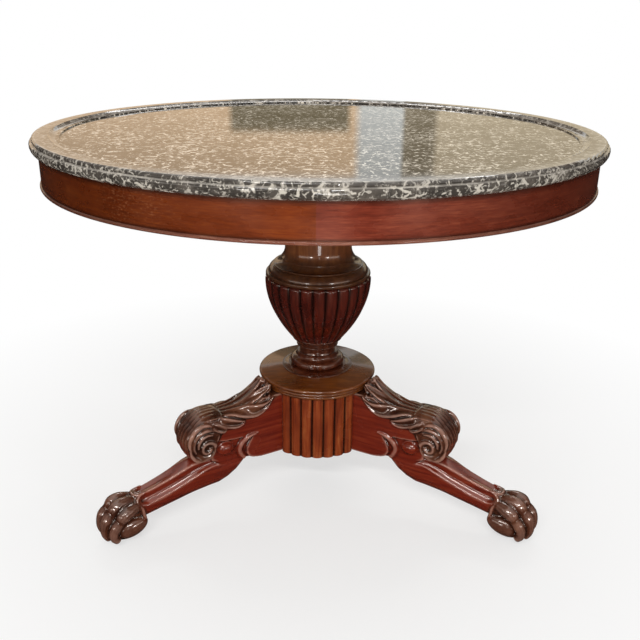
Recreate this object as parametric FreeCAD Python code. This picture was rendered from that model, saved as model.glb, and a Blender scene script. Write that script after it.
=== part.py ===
import FreeCAD, Part
import math
import os

os.makedirs("parts", exist_ok=True)

# Round pedestal table with a loose marble slab, a veneered frieze, a turned column
# and three scroll-kneed paw legs. Millimetres, +Z up, origin on the floor under the
# column's axis. The front of the table looks along -Y; one leg points straight back.

# Heights of the stack
TABLE_HEIGHT = 721.0          # floor to the rim of the slab; the neck takes up the rest
DRUM_UNDERSIDE = 102.0        # floor to the underside of the drum
DRUM_HEIGHT = 129.0
VASE_BODY_HEIGHT = 119.0      # from the astragal to the lip
APRON_DROP = 6.0              # frieze hangs this far below the bearers
APRON_HEIGHT = 57.0

# Marble slab
MARBLE_RADIUS = 490.0         # over the nose
MARBLE_OVERHANG = 12.0        # nose beyond the veneer of the frieze
NOSE_UNDERCUT = 10.0          # underside lies this far inside the nose
NOSE_RISE = 11.0              # underside to the widest point of the nose
NOSE_SHOULDER = 6.0           # widest point to the quirk above it
NOSE_RETURN = 1.5             # nose curls back this far at the quirk
QUIRK_WIDTH = 2.5             # small flat above the nose
RIM_FILLET = 3.0              # upright face between the quirk and the round
RIM_ROUND = 4.0
RIM_BAND = 22.0               # flat border around the sunk field
COVE_WIDTH = 12.0
COVE_DEPTH = 4.5
COVE_SAG = 1.6
FIELD_STEP_WIDTH = 5.0
FIELD_STEP_DEPTH = 2.0

# Frieze
CORE_THICKNESS = 46.0
VENEER_THICKNESS = 1.6
GLUE_LINE = 0.2               # between the core and the veneer
VENEER_LEAVES = 4
SEAM_TURN = -1.9              # degrees from the middle of the front to the seam
BRICKS_PER_COURSE = 6
BEAD_HEIGHT = 5.5
BEAD_REBATE = 6.0             # depth of the bead's seat in the core
BEAD_PROJECTION = 2.6         # half-round beyond the veneer

# Bearers under the slab
BEARER_WIDTH = 80.0
BEARER_DEPTH = 30.0
BEARER_HOUSING = 22.0         # how far each end lies in the core
BEARER_ENDS = 4
HOUSING_CLEARANCE = 0.3
SCREW_RADIUS = 2.5
SCREW_HEAD_RADIUS = 5.0
SCREW_HEAD_HEIGHT = 4.0
SCREW_COVER = 5.0             # core left above the point of a screw
SCREW_SPACING = 44.0
SCREW_CLEARANCE = 0.2

# Tie rod through the column
ROD_RADIUS = 8.0
ROD_CLEARANCE = 0.8
ROD_PROUD = 2.0               # rod beyond each nut
NUT_RADIUS = 14.0             # to the flats' corners
NUT_HEIGHT = 11.0
NUT_SIDES = 6
WASHER_RADIUS = 21.0
WASHER_THICKNESS = 3.5
NUT_POCKET_ROOM = 4.0         # around a washer in its counterbore
NUT_POCKET_DEPTH = 22.0       # counterbore under the drum
NUT_RECESS = 8.0              # counterbore in the crossing of the bearers
NUT_BORE_CLEARANCE = 0.1

# Spigots that locate the turned pieces on each other
SPIGOT_RADIUS = 24.0
SPIGOT_HEIGHT = 12.0
SPIGOT_CLEARANCE = 0.3

# Column neck, from its joint with the vase up
SHOULDER_RADIUS = 97.5
SHOULDER_BEAD_HEIGHT = 8.0
SHOULDER_BEAD_BULGE = 2.2
RING_RADIUS = 95.0            # foot of the sloping ring
RING_TOP_RADIUS = 85.0
RING_HEIGHT = 13.5
RING_BULGE = 2.6
RING_FILLET = 2.0
RING_STEP = 1.5               # from the ring in to the throat
THROAT_HEIGHT = 10.0
THROAT_RADIUS = 70.0
THROAT_SAG = 2.2
THROAT_FILLET = 2.0
NECK_RADIUS = 63.0            # narrowest part of the neck
NECK_FLARE_HEIGHT = 22.0
NECK_FLARE_SAG = 2.2
CAPITAL_RADIUS = 90.0
CAPITAL_THICKNESS = 12.0
CAPITAL_COVE_HEIGHT = 26.0
CAPITAL_COVE_SAG = 4.0

# Gadrooned vase
VASE_RADIUS = 101.0           # over the gadroons at the lip
VASE_BASE_RADIUS = 50.5
LOBE_COUNT = 26
LOBE_DEPTH = 4.2              # valley below the crown at the lip
LOBE_DOME_HEIGHT = 6.0        # rounded upper ends of the gadroons
LOBE_DOME_INSET = 4.5
VASE_STATIONS = 9

# Column foot, from its joint with the cap up
FLANGE_RADIUS = 69.0
FLANGE_HEIGHT = 1.5
SCOTIA_RADIUS = 56.5
SCOTIA_HEIGHT = 2.5
SCOTIA_SAG = 0.8
TORUS_RADIUS = 45.5           # at the flat above and below the half-round
TORUS_HEIGHT = 16.0
TORUS_BULGE = 7.5
FOOT_COVE_HEIGHT = 8.0
FOOT_COVE_SAG = 2.0
FOOT_FILLET_RADIUS = 39.0
FOOT_FILLET_HEIGHT = 3.0
FOOT_NECK_RADIUS = 35.5
FOOT_NECK_HEIGHT = 13.0
FOOT_NECK_SAG = 1.2
ASTRAGAL_RADIUS = 39.5
ASTRAGAL_HEIGHT = 3.5
ASTRAGAL_BULGE = 1.2
CUP_RADIUS = 46.5             # upper end of the hollow under the vase
CUP_HEIGHT = 10.0
CUP_SAG = 2.0
CUP_BEAD_HEIGHT = 5.5
CUP_BEAD_BULGE = 2.0

# Cap of the drum
CAP_OVERHANG = 11.5           # beyond the crowns of the reeds
CAP_THUMB_HEIGHT = 8.5
CAP_THUMB_INSET = 3.4
CAP_BEAD_HEIGHT = 6.5
CAP_BEAD_BULGE = 2.6
CAP_BEAD_INSET = 5.5          # upper bead inside the thumb
CAP_FOOT_INSET = 8.0          # lower bead inside the thumb
CAP_CROWN_RADIUS = 68.0       # where the flat seat of the column ends
CAP_CROWN_RISE = 6.5

# Drum
DRUM_RADIUS = 96.0            # core under the reeds
REED_PROJECTION = 7.5         # crown of the reeds beyond the core
REED_DEPTH = 4.0              # valley below the crown
REEDS_PER_PANEL = 7
PANEL_CLEARANCE = 0.2         # between a panel's end and a leg's side

# Sliding dovetail of each leg
DOVETAIL_DEPTH = 24.0
DOVETAIL_ROOT = 28.0
DOVETAIL_TAIL = 38.0
DOVETAIL_STOP = 28.0          # core left above a socket
DOVETAIL_CLEARANCE = 0.2

# Knee of the leg, measured out from the drum's core and up from its underside
LEG_COUNT = 3
LEG_THICKNESS = 56.0
HEEL_REACH = 60.0             # lower flat of the knee
CRESCENT_REACH = 84.0
CRESCENT_RISE = 38.0
CRESCENT_SAG = 5.0
SCROLL_REACH = 150.0          # centre of the scroll's outer wrap
SCROLL_RISE = 68.0
SCROLL_RADIUS = 52.0
SCROLL_WIDTH = 72.0
MANTLE_STATIONS = 7
SCROLL_CROWN = 9.0            # scroll and leaf are lower by this at their sides
CREST_ANGLE = 98.0            # where the leaf runs onto the scroll
SCROLL_END_ANGLE = -75.0      # where the outer wrap meets the volute
VOLUTE_OUT = 11.0             # eye of the volute from the wrap's centre
VOLUTE_DROP = 15.0
VOLUTE_RADIUS = 26.0
VOLUTE_LEFT_ANGLE = 170.0
VOLUTE_HALF_TURNS = 4         # of the carved spiral
VOLUTE_GROOVE = 3.0
VOLUTE_DEPTH = 4.0
EYE_RADIUS = 5.5
LEAF_GAP = 0.8                # leaf clears the cap's edge
LEAF_TIP_WIDTH = 44.0
LEAF_TIP_LENGTH = 5.0
LEAF_TIP_RISE = 25.0          # tip above the cap's underside
LEAF_DIP_REACH = 102.0        # hollow between the tip and the scroll
LEAF_DIP_SAG = 9.0
LEAF_LOBES = 3
LEAF_LOBE_SAG = 5.0
LEAF_EDGE_DROP = 3.0          # lower edge of the leaf under the cap
BOSS_REACH = 120.0
BOSS_RISE = 40.0
BOSS_RADIUS = 14.0
BOSS_INSET = 5.0              # its centre inside the knee's side

# Shin with three flutes
SHIN_START_REACH = 54.0
SHIN_START_RISE = 22.0
SHIN_START_HEIGHT = 40.0
KNEE_REACH = 140.0            # thickest part of the shin, under the scroll
KNEE_DROP = 3.0               # its centre below the drum's underside
KNEE_SECTION_HEIGHT = 84.0
SHIN_WIDTH_TOP = 52.0
ANKLE_RADIUS = 386.0          # centre of the ankle from the axis
ANKLE_RISE = 63.0             # centre of the ankle from the floor
ANKLE_HEIGHT = 52.0
ANKLE_WIDTH = 46.0
SHIN_SAG = 1.5                # the shin's line hollows by this
SHIN_STATIONS = 6
FLUTE_COUNT = 3
FLUTE_EDGE_ANGLE = 14.0       # lowest arris above the side
FLUTE_DEPTH = 4.5
CUFF_LENGTH = 9.0
CUFF_PROUD = 1.8

# Paw: toes that wrap round an oval cushion
PAW_AHEAD = 27.0              # middle of the cushion beyond the ankle's centre
PAD_LENGTH = 88.0
PAD_WIDTH = 60.0
PAD_HEIGHT = 60.0
PAD_FLAT = 4.0                # cut from the cushion by the floor
TOE_COUNT = 4
TOE_ROOT_RADIUS = 9.0
KNUCKLE_RADIUS = 13.5
SECOND_KNUCKLE_RADIUS = 11.5
TOE_TIP_RADIUS = 7.0
TOE_SPREAD = 17.5             # between neighbouring toes
TOE_SINK = 3.5                # a toe's tip inside the cushion's surface
TOE_ROOT_RISE = 8.0           # a toe leaves the ankle above its centre
KNUCKLE_ANGLE = 76.0          # along the cushion, up from the front
KNUCKLE_PROUD = 13.5          # a knuckle's centre above the cushion's surface
SECOND_KNUCKLE_ANGLE = 37.0
SECOND_KNUCKLE_PROUD = 2.0
TOE_TIP_ANGLE = -8.0
TOE_END_LENGTH = 5.0          # the rounded end beyond the tip's section
TOE_END_RADIUS = 3.5
CLAW_LENGTH = 9.0
CLAW_PITCH = 63.0             # down from level
CLAW_RADIUS = 4.5
CLAW_TIP_RADIUS = 1.5

UP = FreeCAD.Vector(0, 0, 1)
CENTRE = FreeCAD.Vector(0, 0, 0)
FULL_TURN = 360.0
HALF = 0.5

# Levels that follow: up from the drum to the vase, and down from the rim to the neck
drum_top = DRUM_UNDERSIDE + DRUM_HEIGHT
cap_top = drum_top + 2 * CAP_BEAD_HEIGHT + CAP_THUMB_HEIGHT + CAP_CROWN_RISE
torus_top = cap_top + FLANGE_HEIGHT + SCOTIA_HEIGHT + TORUS_HEIGHT
foot_neck_top = torus_top + FOOT_COVE_HEIGHT + FOOT_FILLET_HEIGHT + FOOT_NECK_HEIGHT
foot_top = foot_neck_top + ASTRAGAL_HEIGHT + CUP_HEIGHT + CUP_BEAD_HEIGHT
lip_level = foot_top + VASE_BODY_HEIGHT
vase_top = lip_level + LOBE_DOME_HEIGHT
apron_top = TABLE_HEIGHT - (NOSE_RISE + NOSE_SHOULDER + RIM_FILLET + RIM_ROUND)
apron_bottom = apron_top - APRON_HEIGHT
bearer_bottom = apron_bottom + APRON_DROP
bearer_top = bearer_bottom + BEARER_DEPTH
shaft_top = bearer_bottom - CAPITAL_THICKNESS - CAPITAL_COVE_HEIGHT
course_joint = apron_bottom + APRON_HEIGHT * HALF

apron_radius = MARBLE_RADIUS - MARBLE_OVERHANG
veneer_back = apron_radius - VENEER_THICKNESS
core_outer = veneer_back - GLUE_LINE
core_inner = core_outer - CORE_THICKNESS
bearer_reach = core_inner + BEARER_HOUSING
rod_bore = ROD_RADIUS + ROD_CLEARANCE
reed_crown = DRUM_RADIUS + REED_PROJECTION
cap_radius = reed_crown + CAP_OVERHANG
leg_step = FULL_TURN / LEG_COUNT
pocket_radius = WASHER_RADIUS + NUT_POCKET_ROOM
back_leg_angle = FULL_TURN / 4
front_angle = -FULL_TURN / 4


def save(name, shape):
    shape.exportStep(os.path.join("parts", name + ".step"))


def point(radius, height):
    return FreeCAD.Vector(radius, 0, height)


def line_edge(start, end):
    return Part.LineSegment(start, end).toShape()


def arc_edge(start, middle, end):
    return Part.Arc(start, middle, end).toShape()


def sagged_arc(start, end, sag):
    """Arc in the XZ plane; a positive sag bulges to the right of the way it runs."""
    run = end - start
    right = FreeCAD.Vector(run.z, 0, -run.x)
    right.normalize()
    middle = (start + end) * HALF + right * sag
    return arc_edge(start, middle, end)


def turned_about_axis(shape, angle):
    copy = shape.copy()
    copy.rotate(CENTRE, UP, angle)
    return copy


def cylinder(radius, bottom, top, x=0.0, y=0.0):
    return Part.makeCylinder(radius, top - bottom, FreeCAD.Vector(x, y, bottom), UP)


def block(x_from, x_to, y_from, y_to, z_from, z_to):
    corner = FreeCAD.Vector(x_from, y_from, z_from)
    return Part.makeBox(x_to - x_from, y_to - y_from, z_to - z_from, corner)


class Turning:
    """A turned profile, written from the bottom up as a run of mouldings."""

    def __init__(self, radius, height):
        self.start = point(radius, height)
        self.here = self.start
        self.edges = []

    def line(self, radius, height):
        there = point(radius, height)
        self.edges.append(line_edge(self.here, there))
        self.here = there

    def step(self, radius):
        self.line(radius, self.here.z)

    def rise(self, height):
        self.line(self.here.x, self.here.z + height)

    def curve(self, radius, height, sag):
        """Runs up by a height to a radius; the sag is outward, a cove has a minus."""
        there = point(radius, self.here.z + height)
        self.edges.append(sagged_arc(self.here, there, sag))
        self.here = there

    def bead(self, height, bulge):
        self.curve(self.here.x, height, bulge)

    def solid(self, bore, angle=FULL_TURN):
        """Closes the profile along the bore and turns it about the axis."""
        foot = point(bore, self.start.z)
        head = point(bore, self.here.z)
        edges = list(self.edges)
        edges.append(line_edge(self.here, head))
        edges.append(line_edge(head, foot))
        edges.append(line_edge(foot, self.start))
        face = Part.Face(Part.Wire(edges))
        return face.revolve(CENTRE, UP, angle)


def ring_sector(inner, outer, bottom, top, start_angle, sweep):
    band = Turning(outer, bottom)
    band.rise(top - bottom)
    return turned_about_axis(band.solid(inner, sweep), start_angle)


# Marble top: one slab, underside flat on the frieze, moulded nose, flat border and
# a cove and a step down to the sunk field.
slab = Turning(MARBLE_RADIUS - NOSE_UNDERCUT, apron_top)
slab.curve(MARBLE_RADIUS, NOSE_RISE, NOSE_UNDERCUT * HALF * HALF)
slab.curve(MARBLE_RADIUS - NOSE_RETURN, NOSE_SHOULDER, NOSE_RETURN * HALF)
slab.step(MARBLE_RADIUS - NOSE_RETURN - QUIRK_WIDTH)
slab.rise(RIM_FILLET)
rim_edge = slab.here.x - RIM_ROUND
slab.curve(rim_edge, RIM_ROUND, RIM_ROUND * (math.sqrt(2.0) - 1.0) / math.sqrt(2.0))
slab.step(rim_edge - RIM_BAND)
cove_foot = point(slab.here.x - COVE_WIDTH, slab.here.z - COVE_DEPTH)
slab.edges.append(sagged_arc(slab.here, cove_foot, -COVE_SAG))
slab.here = cove_foot
slab.step(slab.here.x - FIELD_STEP_WIDTH)
slab.rise(-FIELD_STEP_DEPTH)
save("marble_top", slab.solid(0.0))

# Bearers: two oak bars halved across each other, their ends let into the frieze core
# from below, bored for the tie rod and for the spigot of the column.
lap_level = bearer_bottom + BEARER_DEPTH * HALF
half_bearer = BEARER_WIDTH * HALF
bearer_long = block(-bearer_reach, bearer_reach, -half_bearer, half_bearer, bearer_bottom, bearer_top)
bearer_cross = block(-half_bearer, half_bearer, -bearer_reach, bearer_reach, bearer_bottom, bearer_top)
upper_lap = block(-half_bearer, half_bearer, -half_bearer, half_bearer, lap_level, bearer_top)
lower_lap = block(-half_bearer, half_bearer, -half_bearer, half_bearer, bearer_bottom, lap_level)
neck_socket = cylinder(
    SPIGOT_RADIUS + SPIGOT_CLEARANCE, bearer_bottom, bearer_bottom + SPIGOT_HEIGHT + SPIGOT_CLEARANCE)
rod_hole = cylinder(rod_bore, bearer_bottom, bearer_top)
nut_seat = bearer_top - NUT_RECESS
nut_recess = cylinder(pocket_radius, nut_seat, bearer_top)

screw_radius_out = core_inner + BEARER_HOUSING * HALF
screw_sides = (-SCREW_SPACING * HALF, SCREW_SPACING * HALF)
head_seat = bearer_bottom + SCREW_HEAD_HEIGHT + SCREW_CLEARANCE
screw_top = apron_top - SCREW_COVER
one_shank = []
one_way = []
screws = []
for side in screw_sides:
    shank = cylinder(SCREW_RADIUS, head_seat, screw_top, screw_radius_out, side)
    head = cylinder(SCREW_HEAD_RADIUS, head_seat - SCREW_HEAD_HEIGHT, head_seat, screw_radius_out, side)
    pocket = cylinder(
        SCREW_HEAD_RADIUS + SCREW_CLEARANCE, bearer_bottom, head_seat, screw_radius_out, side)
    way = cylinder(SCREW_RADIUS + SCREW_CLEARANCE, head_seat, bearer_top, screw_radius_out, side)
    one_shank.append(shank)
    one_way.append(pocket.fuse(way))
    screws.append(shank.fuse(head))

screw_solids = []
screw_shanks = []
screw_ways = []
for end in range(BEARER_ENDS):
    turn = end * FULL_TURN / BEARER_ENDS
    for index in range(len(screws)):
        screw_solids.append(turned_about_axis(screws[index], turn))
        screw_shanks.append(turned_about_axis(one_shank[index], turn))
        screw_ways.append(turned_about_axis(one_way[index], turn))

bearer_long = bearer_long.cut([upper_lap, neck_socket, rod_hole] + screw_ways)
bearer_cross = bearer_cross.cut([lower_lap, nut_recess, rod_hole] + screw_ways)
save("bearer_long", bearer_long)
save("bearer_cross", bearer_cross)
save("bearer_screws", Part.makeCompound(screw_solids))

# Frieze core: two courses of curved bricks with broken joints, notched from below over
# the ends of the bearers. The lower course is rebated for the bead.
notch_half = half_bearer + HOUSING_CLEARANCE
notch_reach = bearer_reach + HOUSING_CLEARANCE
notches = []
for end in range(BEARER_ENDS):
    notch = block(core_inner * HALF, notch_reach, -notch_half, notch_half, apron_bottom, bearer_top)
    notches.append(turned_about_axis(notch, end * FULL_TURN / BEARER_ENDS))

brick_sweep = FULL_TURN / BRICKS_PER_COURSE
bead_inner = core_outer - BEAD_REBATE
bead_top = apron_bottom + BEAD_HEIGHT
for number in range(BRICKS_PER_COURSE):
    start = number * brick_sweep
    lower = Turning(bead_inner, apron_bottom)
    lower.rise(BEAD_HEIGHT)
    lower.step(core_outer)
    lower.rise(course_joint - bead_top)
    brick = turned_about_axis(lower.solid(core_inner, brick_sweep), start)
    save("core_lower_brick_%d" % (number + 1), brick.cut(notches + screw_shanks))
    start = start + brick_sweep * HALF
    brick = ring_sector(core_inner, core_outer, course_joint, apron_top, start, brick_sweep)
    save("core_upper_brick_%d" % (number + 1), brick.cut(notches + screw_shanks))

# Frieze veneer and bead, in equal leaves; one seam lies close to the middle of the front.
leaf_sweep = FULL_TURN / VENEER_LEAVES
for number in range(VENEER_LEAVES):
    start = front_angle + SEAM_TURN + number * leaf_sweep
    veneer = ring_sector(veneer_back, apron_radius, bead_top, apron_top, start, leaf_sweep)
    save("frieze_veneer_%d" % (number + 1), veneer)
    bead = Turning(apron_radius, apron_bottom)
    bead.bead(BEAD_HEIGHT, BEAD_PROJECTION)
    save("frieze_bead_%d" % (number + 1), turned_about_axis(bead.solid(bead_inner, leaf_sweep), start))

# Column neck: a bead and a sloping ring at the foot, a hollow neck line and a capital that bears
# the crossed bars. A spigot goes up into the lower bar, another down into the vase.
neck = Turning(SHOULDER_RADIUS, vase_top)
neck.bead(SHOULDER_BEAD_HEIGHT, SHOULDER_BEAD_BULGE)
neck.step(RING_RADIUS)
neck.curve(RING_TOP_RADIUS, RING_HEIGHT, RING_BULGE)
neck.rise(RING_FILLET)
neck.step(RING_TOP_RADIUS - RING_STEP)
neck.curve(THROAT_RADIUS, THROAT_HEIGHT, -THROAT_SAG)
neck.rise(THROAT_FILLET)
neck.curve(NECK_RADIUS, NECK_FLARE_HEIGHT, -NECK_FLARE_SAG)
neck.line(NECK_RADIUS, shaft_top)
neck.curve(CAPITAL_RADIUS, CAPITAL_COVE_HEIGHT, -CAPITAL_COVE_SAG)
neck.bead(CAPITAL_THICKNESS, CAPITAL_THICKNESS * HALF * HALF)
neck_solid = neck.solid(0.0)
neck_solid = neck_solid.fuse(cylinder(SPIGOT_RADIUS, bearer_bottom, bearer_bottom + SPIGOT_HEIGHT))
neck_solid = neck_solid.fuse(cylinder(SPIGOT_RADIUS, vase_top - SPIGOT_HEIGHT, vase_top))
neck_bore = cylinder(rod_bore, vase_top - SPIGOT_HEIGHT, bearer_bottom + SPIGOT_HEIGHT)
save("column_neck", neck_solid.cut(neck_bore))


def lobed_wire(radius, depth, height, count):
    """Closed ring of convex arcs: crowns at the radius, valleys inside it."""
    edges = []
    step = 2.0 * math.pi / count
    for lobe in range(count):
        corners = []
        for share, reach in ((0.0, radius - depth), (HALF, radius), (1.0, radius - depth)):
            angle = (lobe + share) * step
            corners.append(FreeCAD.Vector(reach * math.cos(angle), reach * math.sin(angle), height))
        edges.append(arc_edge(corners[0], corners[1], corners[2]))
    return Part.Wire(edges)


# Column vase: a swelling body carved into gadroons that taper with it and end in
# rounded tops under the shoulder of the neck.
sections = []
for station in range(VASE_STATIONS):
    share = station / (VASE_STATIONS - 1.0)
    swell = 1.0 - (1.0 - share) ** 2
    radius = VASE_BASE_RADIUS + (VASE_RADIUS - VASE_BASE_RADIUS) * swell
    height = foot_top + (lip_level - foot_top) * share
    sections.append(lobed_wire(radius, LOBE_DEPTH * radius / VASE_RADIUS, height, LOBE_COUNT))
vase = Part.makeLoft(sections, True, False)
dome_wires = [sections[-1]]
for share in (HALF, 1.0):
    inset = LOBE_DOME_INSET * (1.0 - math.sqrt(1.0 - share * share))
    height = lip_level + LOBE_DOME_HEIGHT * share
    dome_wires.append(lobed_wire(VASE_RADIUS - inset, LOBE_DEPTH, height, LOBE_COUNT))
vase = vase.fuse(Part.makeLoft(dome_wires, True, False))
vase_spigot = cylinder(SPIGOT_RADIUS, foot_top - SPIGOT_HEIGHT, foot_top)
vase_socket = cylinder(
    SPIGOT_RADIUS + SPIGOT_CLEARANCE, vase_top - SPIGOT_HEIGHT - SPIGOT_CLEARANCE, vase_top)
vase_bore = cylinder(rod_bore, foot_top - SPIGOT_HEIGHT, vase_top)
save("column_vase", vase.fuse(vase_spigot).cut([vase_socket, vase_bore]))

# Column foot: flange and scotia on the cap, a torus, a short neck, an astragal and the hollow
# cup that carries the vase. Its spigot goes down into the cap.
foot = Turning(FLANGE_RADIUS, cap_top)
foot.rise(FLANGE_HEIGHT)
foot.curve(SCOTIA_RADIUS, SCOTIA_HEIGHT, -SCOTIA_SAG)
foot.step(TORUS_RADIUS)
foot.bead(TORUS_HEIGHT, TORUS_BULGE)
foot.curve(FOOT_FILLET_RADIUS, FOOT_COVE_HEIGHT, -FOOT_COVE_SAG)
foot.rise(FOOT_FILLET_HEIGHT)
foot.step(FOOT_NECK_RADIUS)
foot.bead(FOOT_NECK_HEIGHT, -FOOT_NECK_SAG)
foot.step(ASTRAGAL_RADIUS)
foot.bead(ASTRAGAL_HEIGHT, ASTRAGAL_BULGE)
foot.curve(CUP_RADIUS, CUP_HEIGHT, -CUP_SAG)
foot.bead(CUP_BEAD_HEIGHT, CUP_BEAD_BULGE)
foot_solid = foot.solid(0.0)
foot_solid = foot_solid.fuse(cylinder(SPIGOT_RADIUS, cap_top - SPIGOT_HEIGHT, cap_top))
foot_socket = cylinder(
    SPIGOT_RADIUS + SPIGOT_CLEARANCE, foot_top - SPIGOT_HEIGHT - SPIGOT_CLEARANCE, foot_top)
foot_bore = cylinder(rod_bore, cap_top - SPIGOT_HEIGHT, foot_top)
save("column_foot", foot_solid.cut([foot_socket, foot_bore]))

# Cap of the drum: two fine beads, a thumb moulding and a gently crowned top.
cap = Turning(cap_radius - CAP_FOOT_INSET, drum_top)
cap.bead(CAP_BEAD_HEIGHT, CAP_BEAD_BULGE)
cap.step(cap_radius - CAP_BEAD_INSET)
cap.bead(CAP_BEAD_HEIGHT, CAP_BEAD_BULGE)
cap.step(cap_radius - CAP_THUMB_INSET)
cap.bead(CAP_THUMB_HEIGHT, CAP_THUMB_INSET)
cap.line(CAP_CROWN_RADIUS, cap_top)
cap_socket = cylinder(
    SPIGOT_RADIUS + SPIGOT_CLEARANCE, cap_top - SPIGOT_HEIGHT - SPIGOT_CLEARANCE, cap_top)
cap_bore = cylinder(rod_bore, drum_top, cap_top)
save("drum_cap", cap.solid(0.0).cut([cap_socket, cap_bore]))

# Core of the drum: a turned block with a dovetail socket for each leg, open at the
# bottom, and a pocket for the nut of the tie rod.


def dovetail(clearance, bottom):
    """Tail of a leg that points along +X, grown by a clearance on its sides and ends."""
    inner = DRUM_RADIUS - DOVETAIL_DEPTH - clearance
    root = DOVETAIL_ROOT * HALF + clearance
    tail = DOVETAIL_TAIL * HALF + clearance
    corners = [
        FreeCAD.Vector(DRUM_RADIUS, -root, bottom),
        FreeCAD.Vector(DRUM_RADIUS, root, bottom),
        FreeCAD.Vector(inner, tail, bottom),
        FreeCAD.Vector(inner, -tail, bottom),
    ]
    face = Part.Face(Part.makePolygon(corners + corners[:1]))
    top = drum_top - DOVETAIL_STOP + clearance
    return face.extrude(FreeCAD.Vector(0, 0, top - bottom))


leg_angles = []
for number in range(LEG_COUNT):
    leg_angles.append(back_leg_angle + number * leg_step)

drum = cylinder(DRUM_RADIUS, DRUM_UNDERSIDE, drum_top)
drum_cuts = [
    cylinder(rod_bore, DRUM_UNDERSIDE, drum_top),
    cylinder(pocket_radius, DRUM_UNDERSIDE, DRUM_UNDERSIDE + NUT_POCKET_DEPTH),
]
for angle in leg_angles:
    drum_cuts.append(turned_about_axis(dovetail(DOVETAIL_CLEARANCE, DRUM_UNDERSIDE), angle))
    mouth = block(
        DRUM_RADIUS - DOVETAIL_DEPTH * HALF, DRUM_RADIUS * 2.0,
        -DOVETAIL_ROOT * HALF - DOVETAIL_CLEARANCE, DOVETAIL_ROOT * HALF + DOVETAIL_CLEARANCE,
        DRUM_UNDERSIDE, drum_top - DOVETAIL_STOP + DOVETAIL_CLEARANCE)
    drum_cuts.append(turned_about_axis(mouth, angle))
save("drum_core", drum.cut(drum_cuts))

# Reeded panels: one between each two legs, a shell with convex reeds of equal width.
reed_valley = reed_crown - REED_DEPTH
half_leg = LEG_THICKNESS * HALF
end_offset = half_leg + PANEL_CLEARANCE
valley_end = math.asin(end_offset / reed_valley)
inner_start = math.asin(end_offset / DRUM_RADIUS)
panel_sweep = math.radians(leg_step) - 2.0 * valley_end
reed_sweep = panel_sweep / REEDS_PER_PANEL


def flat_point(radius, angle):
    return FreeCAD.Vector(radius * math.cos(angle), radius * math.sin(angle), DRUM_UNDERSIDE)


panel_edges = []
for reed in range(REEDS_PER_PANEL):
    start = valley_end + reed * reed_sweep
    panel_edges.append(arc_edge(
        flat_point(reed_valley, start),
        flat_point(reed_crown, start + reed_sweep * HALF),
        flat_point(reed_valley, start + reed_sweep)))
inner_stop = math.radians(leg_step) - inner_start
panel_edges.append(line_edge(
    flat_point(reed_valley, math.radians(leg_step) - valley_end), flat_point(DRUM_RADIUS, inner_stop)))
panel_edges.append(arc_edge(
    flat_point(DRUM_RADIUS, inner_stop),
    flat_point(DRUM_RADIUS, (inner_start + inner_stop) * HALF),
    flat_point(DRUM_RADIUS, inner_start)))
panel_edges.append(line_edge(flat_point(DRUM_RADIUS, inner_start), flat_point(reed_valley, valley_end)))
panel = Part.Face(Part.Wire(panel_edges)).extrude(FreeCAD.Vector(0, 0, DRUM_HEIGHT))
for number in range(LEG_COUNT):
    save("reeded_panel_%d" % (number + 1), turned_about_axis(panel, leg_angles[number]))

# Tie rod: an iron bar from the pocket under the drum to the top of the bearers, with a
# washer and a hexagon nut at each end.


def hexagon_nut(bottom):
    corners = []
    for corner in range(NUT_SIDES + 1):
        angle = corner * 2.0 * math.pi / NUT_SIDES
        corners.append(FreeCAD.Vector(NUT_RADIUS * math.cos(angle), NUT_RADIUS * math.sin(angle), bottom))
    body = Part.Face(Part.makePolygon(corners)).extrude(FreeCAD.Vector(0, 0, NUT_HEIGHT))
    return body.cut(cylinder(ROD_RADIUS, bottom, bottom + NUT_HEIGHT))


def washer(bottom):
    disc = cylinder(WASHER_RADIUS, bottom, bottom + WASHER_THICKNESS)
    return disc.cut(cylinder(ROD_RADIUS + NUT_BORE_CLEARANCE, bottom, bottom + WASHER_THICKNESS))


pocket_roof = DRUM_UNDERSIDE + NUT_POCKET_DEPTH
lower_nut = pocket_roof - WASHER_THICKNESS - NUT_HEIGHT
upper_nut = nut_seat + WASHER_THICKNESS
save("tie_rod", cylinder(ROD_RADIUS, lower_nut - ROD_PROUD, upper_nut + NUT_HEIGHT + ROD_PROUD))
save("tie_rod_washer_bottom", washer(pocket_roof - WASHER_THICKNESS))
save("tie_rod_nut_bottom", hexagon_nut(lower_nut))
save("tie_rod_washer_top", washer(nut_seat))
save("tie_rod_nut_top", hexagon_nut(upper_nut))

# Leg, built pointing along +X. The knee is a flat-sided block with an acanthus mantle
# that rolls over into a scroll; the shin carries three flutes; the foot is a paw.


def across(face, width):
    """A profile in the middle plane of the leg, given an even width to both sides."""
    moved = face.copy()
    moved.translate(FreeCAD.Vector(0, -width * HALF, 0))
    return moved.extrude(FreeCAD.Vector(0, width, 0))


def on_circle(centre, radius, degrees):
    angle = math.radians(degrees)
    return centre + point(radius * math.cos(angle), radius * math.sin(angle))


wrap = point(DRUM_RADIUS + SCROLL_REACH, DRUM_UNDERSIDE + SCROLL_RISE)
eye = wrap + point(VOLUTE_OUT, -VOLUTE_DROP)
under_cap = drum_top - LEAF_GAP
cap_edge = cap_radius + LEAF_GAP

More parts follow.
